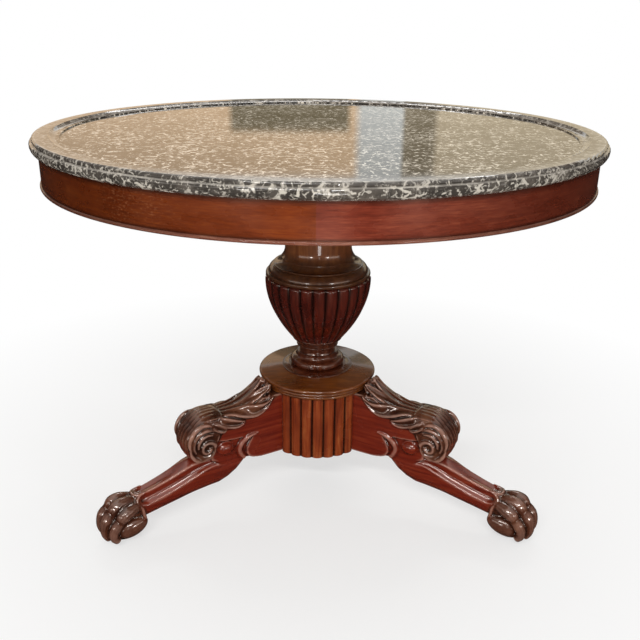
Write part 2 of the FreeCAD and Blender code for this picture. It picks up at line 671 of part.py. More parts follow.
# Knee block with its flat sides and the crescent that ends it below
heel = point(DRUM_RADIUS + HEEL_REACH, DRUM_UNDERSIDE)
crescent = point(DRUM_RADIUS + CRESCENT_REACH, DRUM_UNDERSIDE + CRESCENT_RISE)
knee_shoulder = point(cap_edge + LEAF_TIP_LENGTH, under_cap)
knee_edges = [
    line_edge(point(DRUM_RADIUS * HALF, DRUM_UNDERSIDE), heel),
    sagged_arc(heel, crescent, CRESCENT_SAG),
    line_edge(crescent, eye),
    line_edge(eye, wrap),
    line_edge(wrap, knee_shoulder),
    line_edge(knee_shoulder, point(DRUM_RADIUS * HALF, under_cap)),
    line_edge(point(DRUM_RADIUS * HALF, under_cap), point(DRUM_RADIUS * HALF, DRUM_UNDERSIDE)),
]
knee = across(Part.Face(Part.Wire(knee_edges)), LEG_THICKNESS)
knee = knee.cut(cylinder(DRUM_RADIUS, DRUM_UNDERSIDE - DRUM_HEIGHT, drum_top + DRUM_HEIGHT))
tail = dovetail(0.0, DRUM_UNDERSIDE)
tail_root = block(
    DRUM_RADIUS - DOVETAIL_DEPTH * HALF, DRUM_RADIUS + DOVETAIL_DEPTH,
    -DOVETAIL_ROOT * HALF, DOVETAIL_ROOT * HALF,
    DRUM_UNDERSIDE, drum_top - DOVETAIL_STOP)

# Acanthus mantle: from a tip beside the cap, hollowed, then over the scroll to the
# volute. It is lofted across the leg through profiles that sink towards the sides.


def mantle_wire(offset, sink):
    """Outline of the mantle at an offset from the middle plane, its top sunk there."""
    radius = SCROLL_RADIUS - sink
    tip_foot = point(cap_edge, under_cap - LEAF_EDGE_DROP - sink)
    tip_back = point(cap_edge, drum_top + LEAF_TIP_RISE - LEAF_TIP_LENGTH * HALF - sink)
    tip_top = point(cap_edge + LEAF_TIP_LENGTH, drum_top + LEAF_TIP_RISE - sink)
    dip = point(DRUM_RADIUS + LEAF_DIP_REACH, wrap.z + radius)
    crest = on_circle(wrap, radius, CREST_ANGLE)
    scroll_front = on_circle(wrap, radius, (CREST_ANGLE + SCROLL_END_ANGLE) * HALF)
    scroll_bottom = on_circle(wrap, radius, SCROLL_END_ANGLE)
    volute_left = on_circle(eye, VOLUTE_RADIUS, VOLUTE_LEFT_ANGLE)
    volute_under = on_circle(eye, VOLUTE_RADIUS, (FULL_TURN + VOLUTE_LEFT_ANGLE + SCROLL_END_ANGLE) * HALF)
    edges = [
        line_edge(tip_foot, tip_back),
        line_edge(tip_back, tip_top),
        sagged_arc(tip_top, dip, LEAF_DIP_SAG),
        line_edge(dip, crest),
        arc_edge(crest, scroll_front, scroll_bottom),
        arc_edge(scroll_bottom, volute_under, volute_left),
    ]
    lobe_run = (tip_foot - volute_left) * (1.0 / LEAF_LOBES)
    lobe_start = volute_left
    for lobe in range(LEAF_LOBES):
        lobe_end = lobe_start + lobe_run
        edges.append(sagged_arc(lobe_start, lobe_end, -LEAF_LOBE_SAG))
        lobe_start = lobe_end
    wire = Part.Wire(edges)
    wire.translate(FreeCAD.Vector(0, offset, 0))
    return wire


tip_half = LEAF_TIP_WIDTH * HALF
scroll_half = SCROLL_WIDTH * HALF
mantle_wires = []
for station in range(MANTLE_STATIONS):
    share = 2.0 * station / (MANTLE_STATIONS - 1.0) - 1.0
    mantle_wires.append(mantle_wire(scroll_half * share, SCROLL_CROWN * share * share))
mantle = Part.makeLoft(mantle_wires, True, False)
plan = [
    FreeCAD.Vector(cap_edge - LEAF_TIP_LENGTH, -tip_half, 0),
    FreeCAD.Vector(wrap.x - SCROLL_RADIUS * HALF, -scroll_half, 0),
    FreeCAD.Vector(wrap.x + SCROLL_RADIUS * 2.0, -scroll_half, 0),
    FreeCAD.Vector(wrap.x + SCROLL_RADIUS * 2.0, scroll_half, 0),
    FreeCAD.Vector(wrap.x - SCROLL_RADIUS * HALF, scroll_half, 0),
    FreeCAD.Vector(cap_edge - LEAF_TIP_LENGTH, tip_half, 0),
]
plan_prism = Part.Face(Part.makePolygon(plan + plan[:1])).extrude(UP * (cap_top + SCROLL_RADIUS))
mantle = mantle.common(plan_prism)


def volute_groove():
    """Spiral of half circles around the eye, cut from one side of the scroll."""
    pitch = (VOLUTE_RADIUS - EYE_RADIUS - VOLUTE_GROOVE) / VOLUTE_HALF_TURNS
    outer_edges = []
    inner_edges = []
    radius = VOLUTE_RADIUS - VOLUTE_GROOVE
    centre = eye
    side = -1.0
    for turn in range(VOLUTE_HALF_TURNS):
        lift = point(0.0, radius)
        rim = point(0.0, radius - VOLUTE_GROOVE)
        across_outer = centre + point(radius * -side, 0.0)
        across_inner = centre + point((radius - VOLUTE_GROOVE) * -side, 0.0)
        top_sign = 1.0 if turn % 2 else -1.0
        outer_edges.append((centre + lift * -top_sign, across_outer, centre + lift * top_sign))
        inner_edges.append((centre + rim * -top_sign, across_inner, centre + rim * top_sign))
        centre = centre + point(0.0, pitch * top_sign)
        radius = radius - pitch
        side = -side
    edges = []
    for start, middle, end in outer_edges:
        edges.append(arc_edge(start, middle, end))
    edges.append(line_edge(outer_edges[-1][2], inner_edges[-1][2]))
    for start, middle, end in reversed(inner_edges):
        edges.append(arc_edge(end, middle, start))
    edges.append(line_edge(inner_edges[0][0], outer_edges[0][0]))
    return Part.Face(Part.Wire(edges))


groove = volute_groove()
near_groove = groove.copy()
near_groove.translate(FreeCAD.Vector(0, -scroll_half, 0))
far_groove = groove.copy()
far_groove.translate(FreeCAD.Vector(0, scroll_half - VOLUTE_DEPTH, 0))
depth_run = FreeCAD.Vector(0, VOLUTE_DEPTH, 0)
mantle = mantle.cut([near_groove.extrude(depth_run), far_groove.extrude(depth_run)])


def shin_wire(centre, direction, height, width, flute):
    """Section of the shin: round below, three concave flutes between arrises above."""
    ahead = FreeCAD.Vector(direction)
    ahead.normalize()
    side = FreeCAD.Vector(0, 1, 0)
    lift = side.cross(ahead) * -1.0

    def on_section(degrees, inset):
        angle = math.radians(degrees)
        across_way = side * (math.cos(angle) * (width * HALF - inset))
        return centre + across_way + lift * (math.sin(angle) * (height * HALF - inset))

    stop = FULL_TURN * HALF - FLUTE_EDGE_ANGLE
    span = (stop - FLUTE_EDGE_ANGLE) / FLUTE_COUNT
    edges = []
    for number in range(FLUTE_COUNT):
        start = FLUTE_EDGE_ANGLE + number * span
        edges.append(arc_edge(
            on_section(start, 0.0), on_section(start + span * HALF, flute), on_section(start + span, 0.0)))
    bottom = FULL_TURN + front_angle
    side_left = (stop + bottom) * HALF
    side_right = (bottom + FULL_TURN + FLUTE_EDGE_ANGLE) * HALF
    edges.append(arc_edge(on_section(stop, 0.0), on_section(side_left, 0.0), on_section(bottom, 0.0)))
    edges.append(arc_edge(
        on_section(bottom, 0.0), on_section(side_right, 0.0), on_section(FLUTE_EDGE_ANGLE, 0.0)))
    return Part.Wire(edges)


shin_start = point(DRUM_RADIUS + SHIN_START_REACH, DRUM_UNDERSIDE + SHIN_START_RISE)
knee_point = point(DRUM_RADIUS + KNEE_REACH, DRUM_UNDERSIDE - KNEE_DROP)
ankle = point(ANKLE_RADIUS, ANKLE_RISE)
shin_run = ankle - knee_point
shin_wires = [shin_wire(
    shin_start, knee_point - shin_start, SHIN_START_HEIGHT, SHIN_WIDTH_TOP, FLUTE_DEPTH * HALF)]
for station in range(SHIN_STATIONS):
    share = station / (SHIN_STATIONS - 1.0)
    bow = 4.0 * share * (1.0 - share)
    centre = knee_point + shin_run * share - UP * (SHIN_SAG * bow)
    slim = 1.0 - (1.0 - share) ** 2
    height = KNEE_SECTION_HEIGHT + (ANKLE_HEIGHT - KNEE_SECTION_HEIGHT) * slim
    width = SHIN_WIDTH_TOP + (ANKLE_WIDTH - SHIN_WIDTH_TOP) * slim
    shin_wires.append(shin_wire(centre, shin_run, height, width, FLUTE_DEPTH))
shin = Part.makeLoft(shin_wires, True, False)


def oval_wire(centre, direction, height, width):
    """Ellipse across a way in the middle plane of the leg."""
    ahead = FreeCAD.Vector(direction)
    ahead.normalize()
    lift = FreeCAD.Vector(0, 1, 0).cross(ahead) * -1.0
    side = FreeCAD.Vector(0, 1, 0)
    if height >= width:
        oval = Part.Ellipse(centre + lift * (height * HALF), centre + side * (width * HALF), centre)
    else:
        oval = Part.Ellipse(centre + side * (width * HALF), centre + lift * (height * HALF), centre)
    return Part.Wire([oval.toShape()])


# Ankle cuff: a rounded band that ends the flutes
ahead = FreeCAD.Vector(shin_run)
ahead.normalize()
cuff_wires = []
for share, proud in ((-HALF, 0.0), (0.0, CUFF_PROUD), (HALF, CUFF_PROUD), (1.0, 0.0)):
    centre = ankle + ahead * (CUFF_LENGTH * share)
    cuff_wires.append(oval_wire(centre, shin_run, ANKLE_HEIGHT + proud * 2.0, ANKLE_WIDTH + proud * 2.0))
cuff = Part.makeLoft(cuff_wires, True, False)

# Cushion under the paw: an oval ball, cut flat by the floor
half_length = PAD_LENGTH * HALF
half_width = PAD_WIDTH * HALF
half_height = PAD_HEIGHT * HALF
paw_reach = ANKLE_RADIUS + PAW_AHEAD
pad_centre = point(paw_reach, half_height - PAD_FLAT)
stretch = FreeCAD.Matrix()
stretch.scale(half_length, half_width, half_height)
pad = Part.makeSphere(1.0).transformGeometry(stretch)
pad.translate(pad_centre)


def on_cushion(degrees, offset, proud):
    """Point over the cushion: an angle up from the front, an offset to the side."""
    slim = math.sqrt(1.0 - (offset / (half_width + SECOND_KNUCKLE_RADIUS)) ** 2)
    angle = math.radians(degrees)
    reach = (half_length * slim + proud) * math.cos(angle)
    rise = (half_height * slim + proud) * math.sin(angle)
    return pad_centre + FreeCAD.Vector(reach, offset, rise)


def toe_solids(place):
    """One toe: from the ankle over two knuckles, down the front and into a claw."""
    offset = TOE_SPREAD * place
    root = FreeCAD.Vector(ANKLE_RADIUS, offset * HALF, ANKLE_RISE + TOE_ROOT_RISE)
    stations = [
        (root, TOE_ROOT_RADIUS),
        (on_cushion(KNUCKLE_ANGLE, offset, KNUCKLE_PROUD), KNUCKLE_RADIUS),
        (on_cushion(SECOND_KNUCKLE_ANGLE, offset, SECOND_KNUCKLE_PROUD), SECOND_KNUCKLE_RADIUS),
        (on_cushion(TOE_TIP_ANGLE, offset, -TOE_SINK), TOE_TIP_RADIUS),
    ]
    path = Part.BSplineCurve()
    path.interpolate([spot for spot, size in stations])
    wires = []
    for spot, size in stations:
        tangent = path.tangent(path.parameter(spot))[0]
        wires.append(Part.Wire([Part.Circle(spot, tangent, size).toShape()]))
    tip = stations[-1][0]
    end = tip + tangent * TOE_END_LENGTH
    wires.append(Part.Wire([Part.Circle(end, tangent, TOE_END_RADIUS).toShape()]))
    pitch = math.radians(CLAW_PITCH)
    down = point(math.cos(pitch), -math.sin(pitch))
    claw = Part.makeCone(CLAW_RADIUS, CLAW_TIP_RADIUS, CLAW_LENGTH, tip, down)
    return [Part.makeLoft(wires, True, False), claw]


paw_pieces = [pad]
for toe in range(TOE_COUNT // 2):
    near_toe = toe_solids(toe - (TOE_COUNT - 1) * HALF)
    far_toe = [piece.mirror(FreeCAD.Vector(0, 0, 0), FreeCAD.Vector(0, 1, 0)) for piece in near_toe]
    paw_pieces.extend(near_toe + far_toe)

# Boss on each side of the knee, in the hollow behind the volute
bosses = []
for sign in (-1.0, 1.0):
    boss_centre = FreeCAD.Vector(
        DRUM_RADIUS + BOSS_REACH, sign * (half_leg - BOSS_INSET), DRUM_UNDERSIDE + BOSS_RISE)
    bosses.append(Part.makeSphere(BOSS_RADIUS, boss_centre))

leg = knee.fuse([tail, tail_root, mantle, shin, cuff] + bosses)
leg = leg.fuse(paw_pieces)
above_floor = block(0.0, paw_reach * 2.0, -paw_reach, paw_reach, 0.0, paw_reach)
leg = leg.common(above_floor)
leg = leg.removeSplitter()
leg_names = ("leg_back", "leg_left", "leg_right")
for number in range(LEG_COUNT):
    save(leg_names[number], turned_about_axis(leg, leg_angles[number]))
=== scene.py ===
import math
import bpy
import numpy as np
from mathutils import Matrix, Vector


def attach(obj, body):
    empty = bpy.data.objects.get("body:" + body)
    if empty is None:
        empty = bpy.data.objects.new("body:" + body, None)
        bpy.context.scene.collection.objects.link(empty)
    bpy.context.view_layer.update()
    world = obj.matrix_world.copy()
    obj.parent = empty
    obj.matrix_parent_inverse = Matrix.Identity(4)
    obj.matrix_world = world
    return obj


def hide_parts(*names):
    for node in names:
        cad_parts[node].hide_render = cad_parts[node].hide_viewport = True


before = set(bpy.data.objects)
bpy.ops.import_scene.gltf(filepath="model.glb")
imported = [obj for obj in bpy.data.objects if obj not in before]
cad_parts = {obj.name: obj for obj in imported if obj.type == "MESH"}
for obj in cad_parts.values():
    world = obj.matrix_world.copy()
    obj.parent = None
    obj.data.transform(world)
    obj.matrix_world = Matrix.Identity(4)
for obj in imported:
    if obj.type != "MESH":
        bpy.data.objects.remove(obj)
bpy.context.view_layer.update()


# Legs: each is carved by hand from one block of mahogany. A flat-sided knee carries an acanthus
# leaf that rolls over into a scroll, the shin is fluted, and the foot is a paw with four toes.
# A dovetail on the inner end slides up into the core of the drum.
def deselect_all():
    bpy.ops.object.select_all(action="DESELECT")


def activate(piece):
    deselect_all()
    piece.select_set(True)
    bpy.context.view_layer.objects.active = piece


def mesh_piece(name, points, faces):
    """A mesh worked out point by point, for carved relief that edit-mode tools can't reach."""
    mesh = bpy.data.meshes.new(name)
    mesh.from_pydata([tuple(p) for p in points], [], faces)
    mesh.validate()
    piece = bpy.data.objects.new(name, mesh)
    bpy.context.scene.collection.objects.link(piece)
    return piece


def outward(piece):
    """Turns all faces of a closed mesh outward."""
    activate(piece)
    bpy.ops.object.mode_set(mode="EDIT")
    bpy.ops.mesh.select_all(action="SELECT")
    bpy.ops.mesh.normals_make_consistent(inside=False)
    bpy.ops.object.mode_set(mode="OBJECT")
    return piece


def lofted(name, rings):
    """Closed skin through rings of equal count, with a fan over each end."""
    rings = np.asarray(rings, float)
    count, around = rings.shape[:2]
    points = list(rings.reshape(-1, 3))
    faces = []
    for row in range(count - 1):
        for step in range(around):
            after = (step + 1) % around
            faces.append((row * around + step, row * around + after,
                          (row + 1) * around + after, (row + 1) * around + step))
    for row in (0, count - 1):
        points.append(rings[row].mean(0))
        middle = len(points) - 1
        for step in range(around):
            faces.append((row * around + step, row * around + (step + 1) % around, middle))
    return outward(mesh_piece(name, points, faces))


def strand(name, path, sizes):
    """A rounded strand of wood that swells and tapers along a smooth line."""
    curve = bpy.data.curves.new(name, "CURVE")
    curve.dimensions = "3D"
    curve.bevel_depth = 1.0
    curve.bevel_resolution = 4
    curve.resolution_u = 10
    curve.use_fill_caps = True
    spline = curve.splines.new("BEZIER")
    spline.bezier_points.add(len(path) - 1)
    for knot, place, size in zip(spline.bezier_points, path, sizes):
        knot.co = place
        knot.radius = size
        knot.handle_left_type = "AUTO"
        knot.handle_right_type = "AUTO"
    piece = bpy.data.objects.new(name, curve)
    bpy.context.scene.collection.objects.link(piece)
    activate(piece)
    bpy.ops.object.convert(target="MESH")
    return bpy.context.object


def ball(name, place, size, tilt=0.0):
    """An ellipsoid, tilted by some degrees in the leg's middle plane."""
    deselect_all()
    bpy.ops.mesh.primitive_uv_sphere_add(segments=40, ring_count=24, radius=1.0)
    piece = bpy.context.object
    piece.name = name
    piece.data.transform(Matrix.Diagonal((*size, 1.0)))
    piece.data.transform(Matrix.Translation(place) @ Matrix.Rotation(math.radians(tilt), 4, "Y"))
    return piece


def plate(name, outline, half):
    """A flat-sided block from its outline in the leg's middle plane."""
    rings = []
    for side in (-half, half):
        rings.append([(x, side, z) for x, z in outline])
    return lofted(name, rings)


leg_shells = []

# The knee, in millimetres out from the axis and up from the floor: a flat panel on each side, cut
# off below by a crescent, and a lower ground behind the crescent where the boss stands.
PANEL_HALF = 28.0
GROUND_HALF = 23.0
BED_HALF = 21.5
BOSS = (215.5, 20.0, 139.5)
BOSS_SIZE = (17.0, 13.5, 13.8)
BOSS_TILT = -13.0
panel_outline = [
    (91.5, 102.3), (120.0, 102.3), (146.0, 103.0), (160.0, 106.0), (168.0, 110.0), (173.0, 119.0),
    (171.5, 130.0), (165.0, 142.0), (156.0, 154.0), (175.0, 155.5), (195.0, 156.0), (215.0, 157.5),
    (236.0, 162.0), (252.0, 172.0), (250.0, 200.0), (238.0, 208.0), (198.0, 206.0), (170.0, 214.0),
    (150.0, 221.0), (136.0, 228.0), (91.5, 228.0)]
ground_outline = [
    (150.0, 108.0), (178.0, 108.0), (210.0, 104.0), (244.0, 120.0), (244.0, 168.0), (156.0, 164.0)]
leg_shells.append(plate("knee_panel", panel_outline, PANEL_HALF))
leg_shells.append(plate("knee_ground", ground_outline, GROUND_HALF))
crescent_bed = [
    (158.0, 106.0), (176.0, 107.5), (184.0, 114.0), (187.0, 130.0), (181.0, 145.0), (158.0, 154.5)]
leg_shells.append(plate("crescent_bed", crescent_bed, BED_HALF))
for side in (-1.0, 1.0):
    crescent = [(148.0, 28.4, 157.5), (157.0, 28.4, 156.8), (167.0, 27.8, 154.5), (176.0, 26.5, 149.5),
                (183.5, 25.0, 141.0), (187.0, 23.5, 130.0), (183.5, 23.0, 118.0), (176.5, 23.0, 108.0)]
    leg_shells.append(strand(
        "crescent", [(x, side * y, z) for x, y, z in crescent], [1.2, 2.6, 4.0, 5.0, 5.4, 5.6, 5.4, 4.4]))
    leg_shells.append(ball("boss", (BOSS[0], side * BOSS[1], BOSS[2]), BOSS_SIZE, BOSS_TILT))

# The acanthus leaf: lobes that leave the neck of the scroll and fan out towards the drum, each
# a pointed ridge with a vein, laid over the rounded back of the knee.
LEAF_BACK = np.linspace(114.5, 252.0, 122)
LEAF_ACROSS = np.linspace(-84.0, 84.0, 161)
LEAF_LEVEL = 213.5
LEAF_CLIMB = 40.0
LEAF_SUNK = -11.0
LEAF_PROUD = 9.0
LEAF_WALL = 9.0
CLIMB_START = 200.0
CLIMB_RUN = 75.0
CLIMB_CURVE = 1.9


def leaf_section(x):
    """Points and outward normals across the back of the knee at a distance from the axis."""
    fall = np.clip((CLIMB_START - x) / CLIMB_RUN, 0.0, 1.1)
    top = LEAF_LEVEL + LEAF_CLIMB * fall ** CLIMB_CURVE
    half = np.interp(x, [117.0, 160.0, 200.0, 228.0], [27.5, 30.0, 32.0, 33.5])
    rise = np.interp(x, [117.0, 198.0, 252.0], [34.0, 14.0, 12.0])
    power = 2.0 / np.interp(x, [117.0, 198.0], [2.0, 2.6])
    turn = np.linspace(0.0, math.pi / 2.0, 90)
    y = half * np.sin(turn) ** power
    z = top - rise + rise * np.cos(turn) ** power
    y = np.append(y, half)
    z = np.append(z, top - rise - 90.0)
    run = np.append(0.0, np.cumsum(np.hypot(np.diff(y), np.diff(z))))
    far = np.abs(LEAF_ACROSS)
    sign = np.sign(LEAF_ACROSS)
    place_y = np.interp(far, run, y)
    place_z = np.interp(far, run, z)
    ahead_y = np.interp(far + 0.5, run, y) - np.interp(far - 0.5, run, y)
    ahead_z = np.interp(far + 0.5, run, z) - np.interp(far - 0.5, run, z)
    length = np.hypot(ahead_y, ahead_z) + 1e-9
    points = np.stack([np.full_like(far, x), place_y * sign, place_z], 1)
    normals = np.stack([np.zeros_like(far), -ahead_z / length * sign, ahead_y / length], 1)
    normals[far < 0.5] = (0.0, 0.0, 1.0)
    return points, normals


def smooth_step(value, low, high):
    """A share that eases from nothing at low to all at high."""
    share = np.clip((value - low) / (high - low), 0.0, 1.0)
    return share * share * (3.0 - 2.0 * share)


# Each lobe: its line from the neck to the tip, as distance from the axis and distance down from
# the back, then half its greatest width and the height of its crest.
leaf_lobes = [
    ([(238.0, 0.0), (200.0, 0.0), (160.0, 0.0), (122.0, 0.0)], 10.5, 4.6),
    ([(240.0, 9.0), (205.0, 12.0), (170.0, 15.0), (140.0, 20.0), (117.0, 27.0)], 9.0, 4.4),
    ([(240.0, 18.0), (205.0, 22.0), (179.0, 29.0), (152.0, 43.0), (132.0, 51.0), (115.0, 49.0)],
     11.0, 5.4),
    ([(246.0, 27.0), (230.0, 35.0), (213.0, 42.0), (195.0, 46.5), (178.0, 46.5)], 10.0, 5.2),
    ([(249.0, 34.0), (240.0, 43.0), (230.0, 50.0), (216.0, 55.5)], 7.0, 4.0)]
lobe_height = np.full((len(LEAF_BACK), len(LEAF_ACROSS)), LEAF_SUNK)
back_grid, across_grid = np.meshgrid(LEAF_BACK, LEAF_ACROSS, indexing="ij")
for spine, greatest, crest in leaf_lobes:
    spine = np.array(spine)
    strides = np.hypot(*np.diff(spine, axis=0).T)
    knots = np.append(0.0, np.cumsum(strides)) / strides.sum()
    fine = np.linspace(0.0, 1.0, 90)
    order = min(4, len(spine) - 1)
    line_x = np.polyval(np.polyfit(knots, spine[:, 0], order), fine)
    line_w = np.polyval(np.polyfit(knots, spine[:, 1], order), fine)
    apart_x = back_grid[..., None] - line_x
    apart_w = np.abs(across_grid)[..., None] - line_w
    gap = np.hypot(apart_x, apart_w)
    nearest = gap.argmin(-1)
    distance = gap.min(-1)
    along = fine[nearest]
    swell = 0.3 + 0.7 * np.sin(0.5 * math.pi * np.clip(along / 0.6, 0.0, 1.0))
    point_in = (1.0 - np.clip((along - 0.62) / 0.38, 0.0, 1.0) ** 2.0) ** 0.75
    width = greatest * swell * point_in + 0.4
    share = np.clip(distance / width, 0.0, 1.0)
    lift = crest * (0.25 + 0.75 * smooth_step(along, 0.05, 0.4)) + 1.8 * along ** 4
    hollow_face = 0.42 + 0.58 * smooth_step(share, 0.1, 0.72)
    height = np.where(distance < width, lift * hollow_face * (1.0 - smooth_step(share, 0.86, 1.0)),
                      -(distance - width) * 3.0)
    lobe_height = np.maximum(lobe_height, height)
leaf_points = []
for row, x in enumerate(LEAF_BACK):
    points, normals = leaf_section(x)
    leaf_points.append(points + normals * np.clip(lobe_height[row], LEAF_SUNK, LEAF_PROUD)[:, None])
leaf_points = np.array(leaf_points)
columns = len(LEAF_ACROSS)
leaf_faces = []
for row in range(len(LEAF_BACK) - 1):
    for column in range(columns - 1):
        corner = row * columns + column
        leaf_faces.append((corner, corner + columns, corner + columns + 1, corner + 1))


def shaped(piece, kind, **settings):
    """Applies a modifier with its settings."""
    activate(piece)
    modifier = piece.modifiers.new("shaping", kind)
    for name, value in settings.items():
        setattr(modifier, name, value)
    bpy.ops.object.modifier_apply(modifier=modifier.name)


leaf = mesh_piece("leaf", leaf_points.reshape(-1, 3), leaf_faces)
shaped(leaf, "SOLIDIFY", thickness=LEAF_WALL, offset=-1.0)
leg_shells.append(leaf)

# The back of the knee under the leaf, so that the leaf has no hollow behind it.
UNDER_LEVEL = 206.0
UNDER_CLIMB = 34.0
UNDER_FLOOR = 190.0
under_leaf = []
for x in np.linspace(126.0, 250.0, 30):
    fall = max(0.0, (CLIMB_START - x) / CLIMB_RUN)
    top = UNDER_LEVEL + UNDER_CLIMB * fall ** CLIMB_CURVE
    half = float(np.interp(x, [126.0, 200.0], [22.0, 28.0]))
    under_leaf.append([(x, -half, UNDER_FLOOR), (x, half, UNDER_FLOOR), (x, half, top - 12.0),
                       (x, half * 0.6, top - 2.0), (x, -half * 0.6, top - 2.0), (x, -half, top - 12.0)])
leg_shells.append(lofted("under_leaf", under_leaf))

# The scroll: the leaf rolls over the knee into a volute, ribbed across its back, with strands
# that curl down each side into the eye.
EYE = (256.0, 155.0)
HALF_SCROLL = 30.5
RIB_HEIGHT = 1.7
RIB_SINK = 1.4
RIB_PITCH = 10.4
STRAND_COUNT = 6.0
LOCK_OUT = 33.6
TURN_COUNT = 264
SPIRAL_TURN = [-900, -810, -720, -630, -585, -540, -495, -450, -405, -360, -315, -270, -225, -180,
               -135, -90, -38, -3, 28, 44, 64, 87, 97, 110, 119]
SPIRAL_REACH = [3.2, 4.0, 5.2, 7.4, 8.8, 10.2, 11.4, 12.2, 12.8, 13.4, 14.4, 16.0, 18.8, 21.6, 24.2, 27.5,
                35.6, 38.0, 44.2, 46.6, 50.8, 61.0, 63.2, 66.5, 71.0]
turns = -180.0 + 360.0 * np.arange(TURN_COUNT) / TURN_COUNT
rim = np.interp(turns, SPIRAL_TURN + [123, 130, 142, 160, 180],
                SPIRAL_REACH + [70.5, 57.0, 40.0, 27.0, 21.6])
rim_inner = np.interp(turns - 360.0, SPIRAL_TURN, SPIRAL_REACH)
rim_third = np.interp(turns - 720.0, SPIRAL_TURN, SPIRAL_REACH)
lean = np.radians(turns)


def scroll_side(reach):
    """Height of the carving on the side of the scroll, at a reach from the eye for each turn."""
    first = np.clip((rim - reach) / (rim - rim_inner), 0.0, 1.0)
    second = np.clip((rim_inner - reach) / (rim_inner - rim_third), 0.0, 1.0)
    outer = reach >= rim_inner
    inner = (reach < rim_inner) & (reach >= rim_third)
    dome_first = np.sqrt(np.clip(1.0 - (2.0 * first - 1.0) ** 2, 0.0, 1.0))
    dome_second = np.sqrt(np.clip(1.0 - (2.0 * second - 1.0) ** 2, 0.0, 1.0))
    strands = np.abs(np.sin(math.pi * STRAND_COUNT * first)) * 1.6
    many = smooth_step(turns, -70.0, 10.0)
    relief = np.where(outer, (1.0 - many) * 5.0 * dome_first + many * (0.6 + strands), 0.0)
    relief = np.where(inner, 6.5 * dome_second, relief)
    return np.where(reach < rim_third, 2.5, relief)


side_rings = []
for share in np.linspace(0.02, 0.985, 52):
    reach = share * (rim - 5.0)
    side = HALF_SCROLL + scroll_side(reach)
    side_rings.append(np.stack([EYE[0] + reach * np.cos(lean), side, EYE[1] + reach * np.sin(lean)], 1))
barrel_rings = []
for across in np.linspace(HALF_SCROLL, -HALF_SCROLL, 57):
    ribs = RIB_HEIGHT * np.abs(np.cos(math.pi * across / RIB_PITCH + 0.25 * np.sin(2.0 * lean))) - RIB_SINK
    ribs = ribs * smooth_step(turns, -100.0, -50.0) * (1.0 - smooth_step(turns, 104.0, 120.0))
    reach = rim - 5.2 * abs(across / HALF_SCROLL) ** 2.4 + ribs
    barrel_rings.append(np.stack(
        [EYE[0] + reach * np.cos(lean), np.full(TURN_COUNT, across), EYE[1] + reach * np.sin(lean)], 1))
far_rings = []
for ring in side_rings[::-1]:
    far_rings.append(ring * np.array([1.0, -1.0, 1.0]))
leg_shells.append(lofted("scroll", side_rings + barrel_rings + far_rings))
for side in (-1.0, 1.0):
    for lock, sizes in (
            ([(240.0, 196.0), (256.0, 204.5), (273.0, 201.5), (285.0, 189.0), (290.0, 173.0),
              (287.5, 156.0)], [1.5, 4.0, 4.8, 4.8, 4.2, 1.6]),
            ([(240.0, 189.0), (256.0, 193.5), (270.0, 189.5), (280.5, 179.0), (283.5, 165.0),
              (279.0, 152.0)], [1.5, 3.8, 4.4, 4.4, 3.8, 1.6]),
            ([(244.0, 181.0), (257.0, 183.0), (267.0, 178.5), (273.0, 169.5), (274.0, 159.0)],
             [1.2, 3.2, 3.7, 3.5, 1.6]),
            ([(290.0, 160.0), (286.0, 147.0), (278.0, 137.5), (267.0, 132.5)], [1.6, 4.0, 4.4, 2.6])):
        leg_shells.append(strand("lock", [(x, side * LOCK_OUT, z) for x, z in lock], sizes))

# The shin: it leaves the knee behind the crescent and tapers to the ankle, with a flute on the
# back and one on each side between sharp arrises, ended by round arches.
FLUTE_TOP = 58.0
KNEE_POINT = np.array([236.0, 99.0])
ANKLE_POINT = np.array([386.0, 63.0])
SHIN_LINE = (ANKLE_POINT - KNEE_POINT) / np.hypot(*(ANKLE_POINT - KNEE_POINT))
SHIN_LIFT = np.array([-SHIN_LINE[1], SHIN_LINE[0]])
SHIN_LENGTH = float(np.hypot(*(ANKLE_POINT - KNEE_POINT)))
FLUTE_STOP = SHIN_LENGTH - 4.0
FLUTE_DEPTH = 6.2
ARCH = 15.0
SHIN_RUN = [-66, -60, -50, -40, -20, 0, 20, 36, 48, 62, 76, 90, 117, 136, 154, 166]
SHIN_OFF = [0.0, -4.2, -8.0, -10.0, -8.5, -5.5, 0.5, 3.0, 3.2, 2.0, 0.6, -0.2, -0.8, -0.9, -0.9, -0.8]
SHIN_HALF = [6.0, 9.2, 14.0, 20.0, 29.5, 35.0, 38.0, 38.5, 37.0, 34.4, 32.3, 30.8, 28.7, 27.9, 27.2, 26.0]
# Angles around the section, by run, of the arris under a side flute and of the one above it.
ARRIS_RUN = [0, 24, 36, 48, 62, 76, 106, 139, 160]
LOW_ARRIS = [30, 16, 11, 8, 7, 7, 5, 5, 5]
HIGH_ARRIS = [47, 46, 46, 47, 50, 53, 56, 58, 58]


def shin_point(run, degrees, proud=0.0):
    """A point on the plain shin at a distance down from the knee, by its angle around."""
    half = np.interp(run, SHIN_RUN, SHIN_HALF)
    middle = KNEE_POINT + SHIN_LINE * run
    across = np.interp(run, [-66.0, 0.0, 60.0, 160.0], [22.0, 26.0, 25.5, 23.0])
    angle = np.radians(degrees)
    lift = np.interp(run, SHIN_RUN, SHIN_OFF) + np.sin(angle) * (half + proud)
    x = middle[0] + SHIN_LIFT[0] * lift
    z = middle[1] + SHIN_LIFT[1] * lift
    y = np.cos(angle) * (across + proud)
    return np.stack([x, y, z], -1)


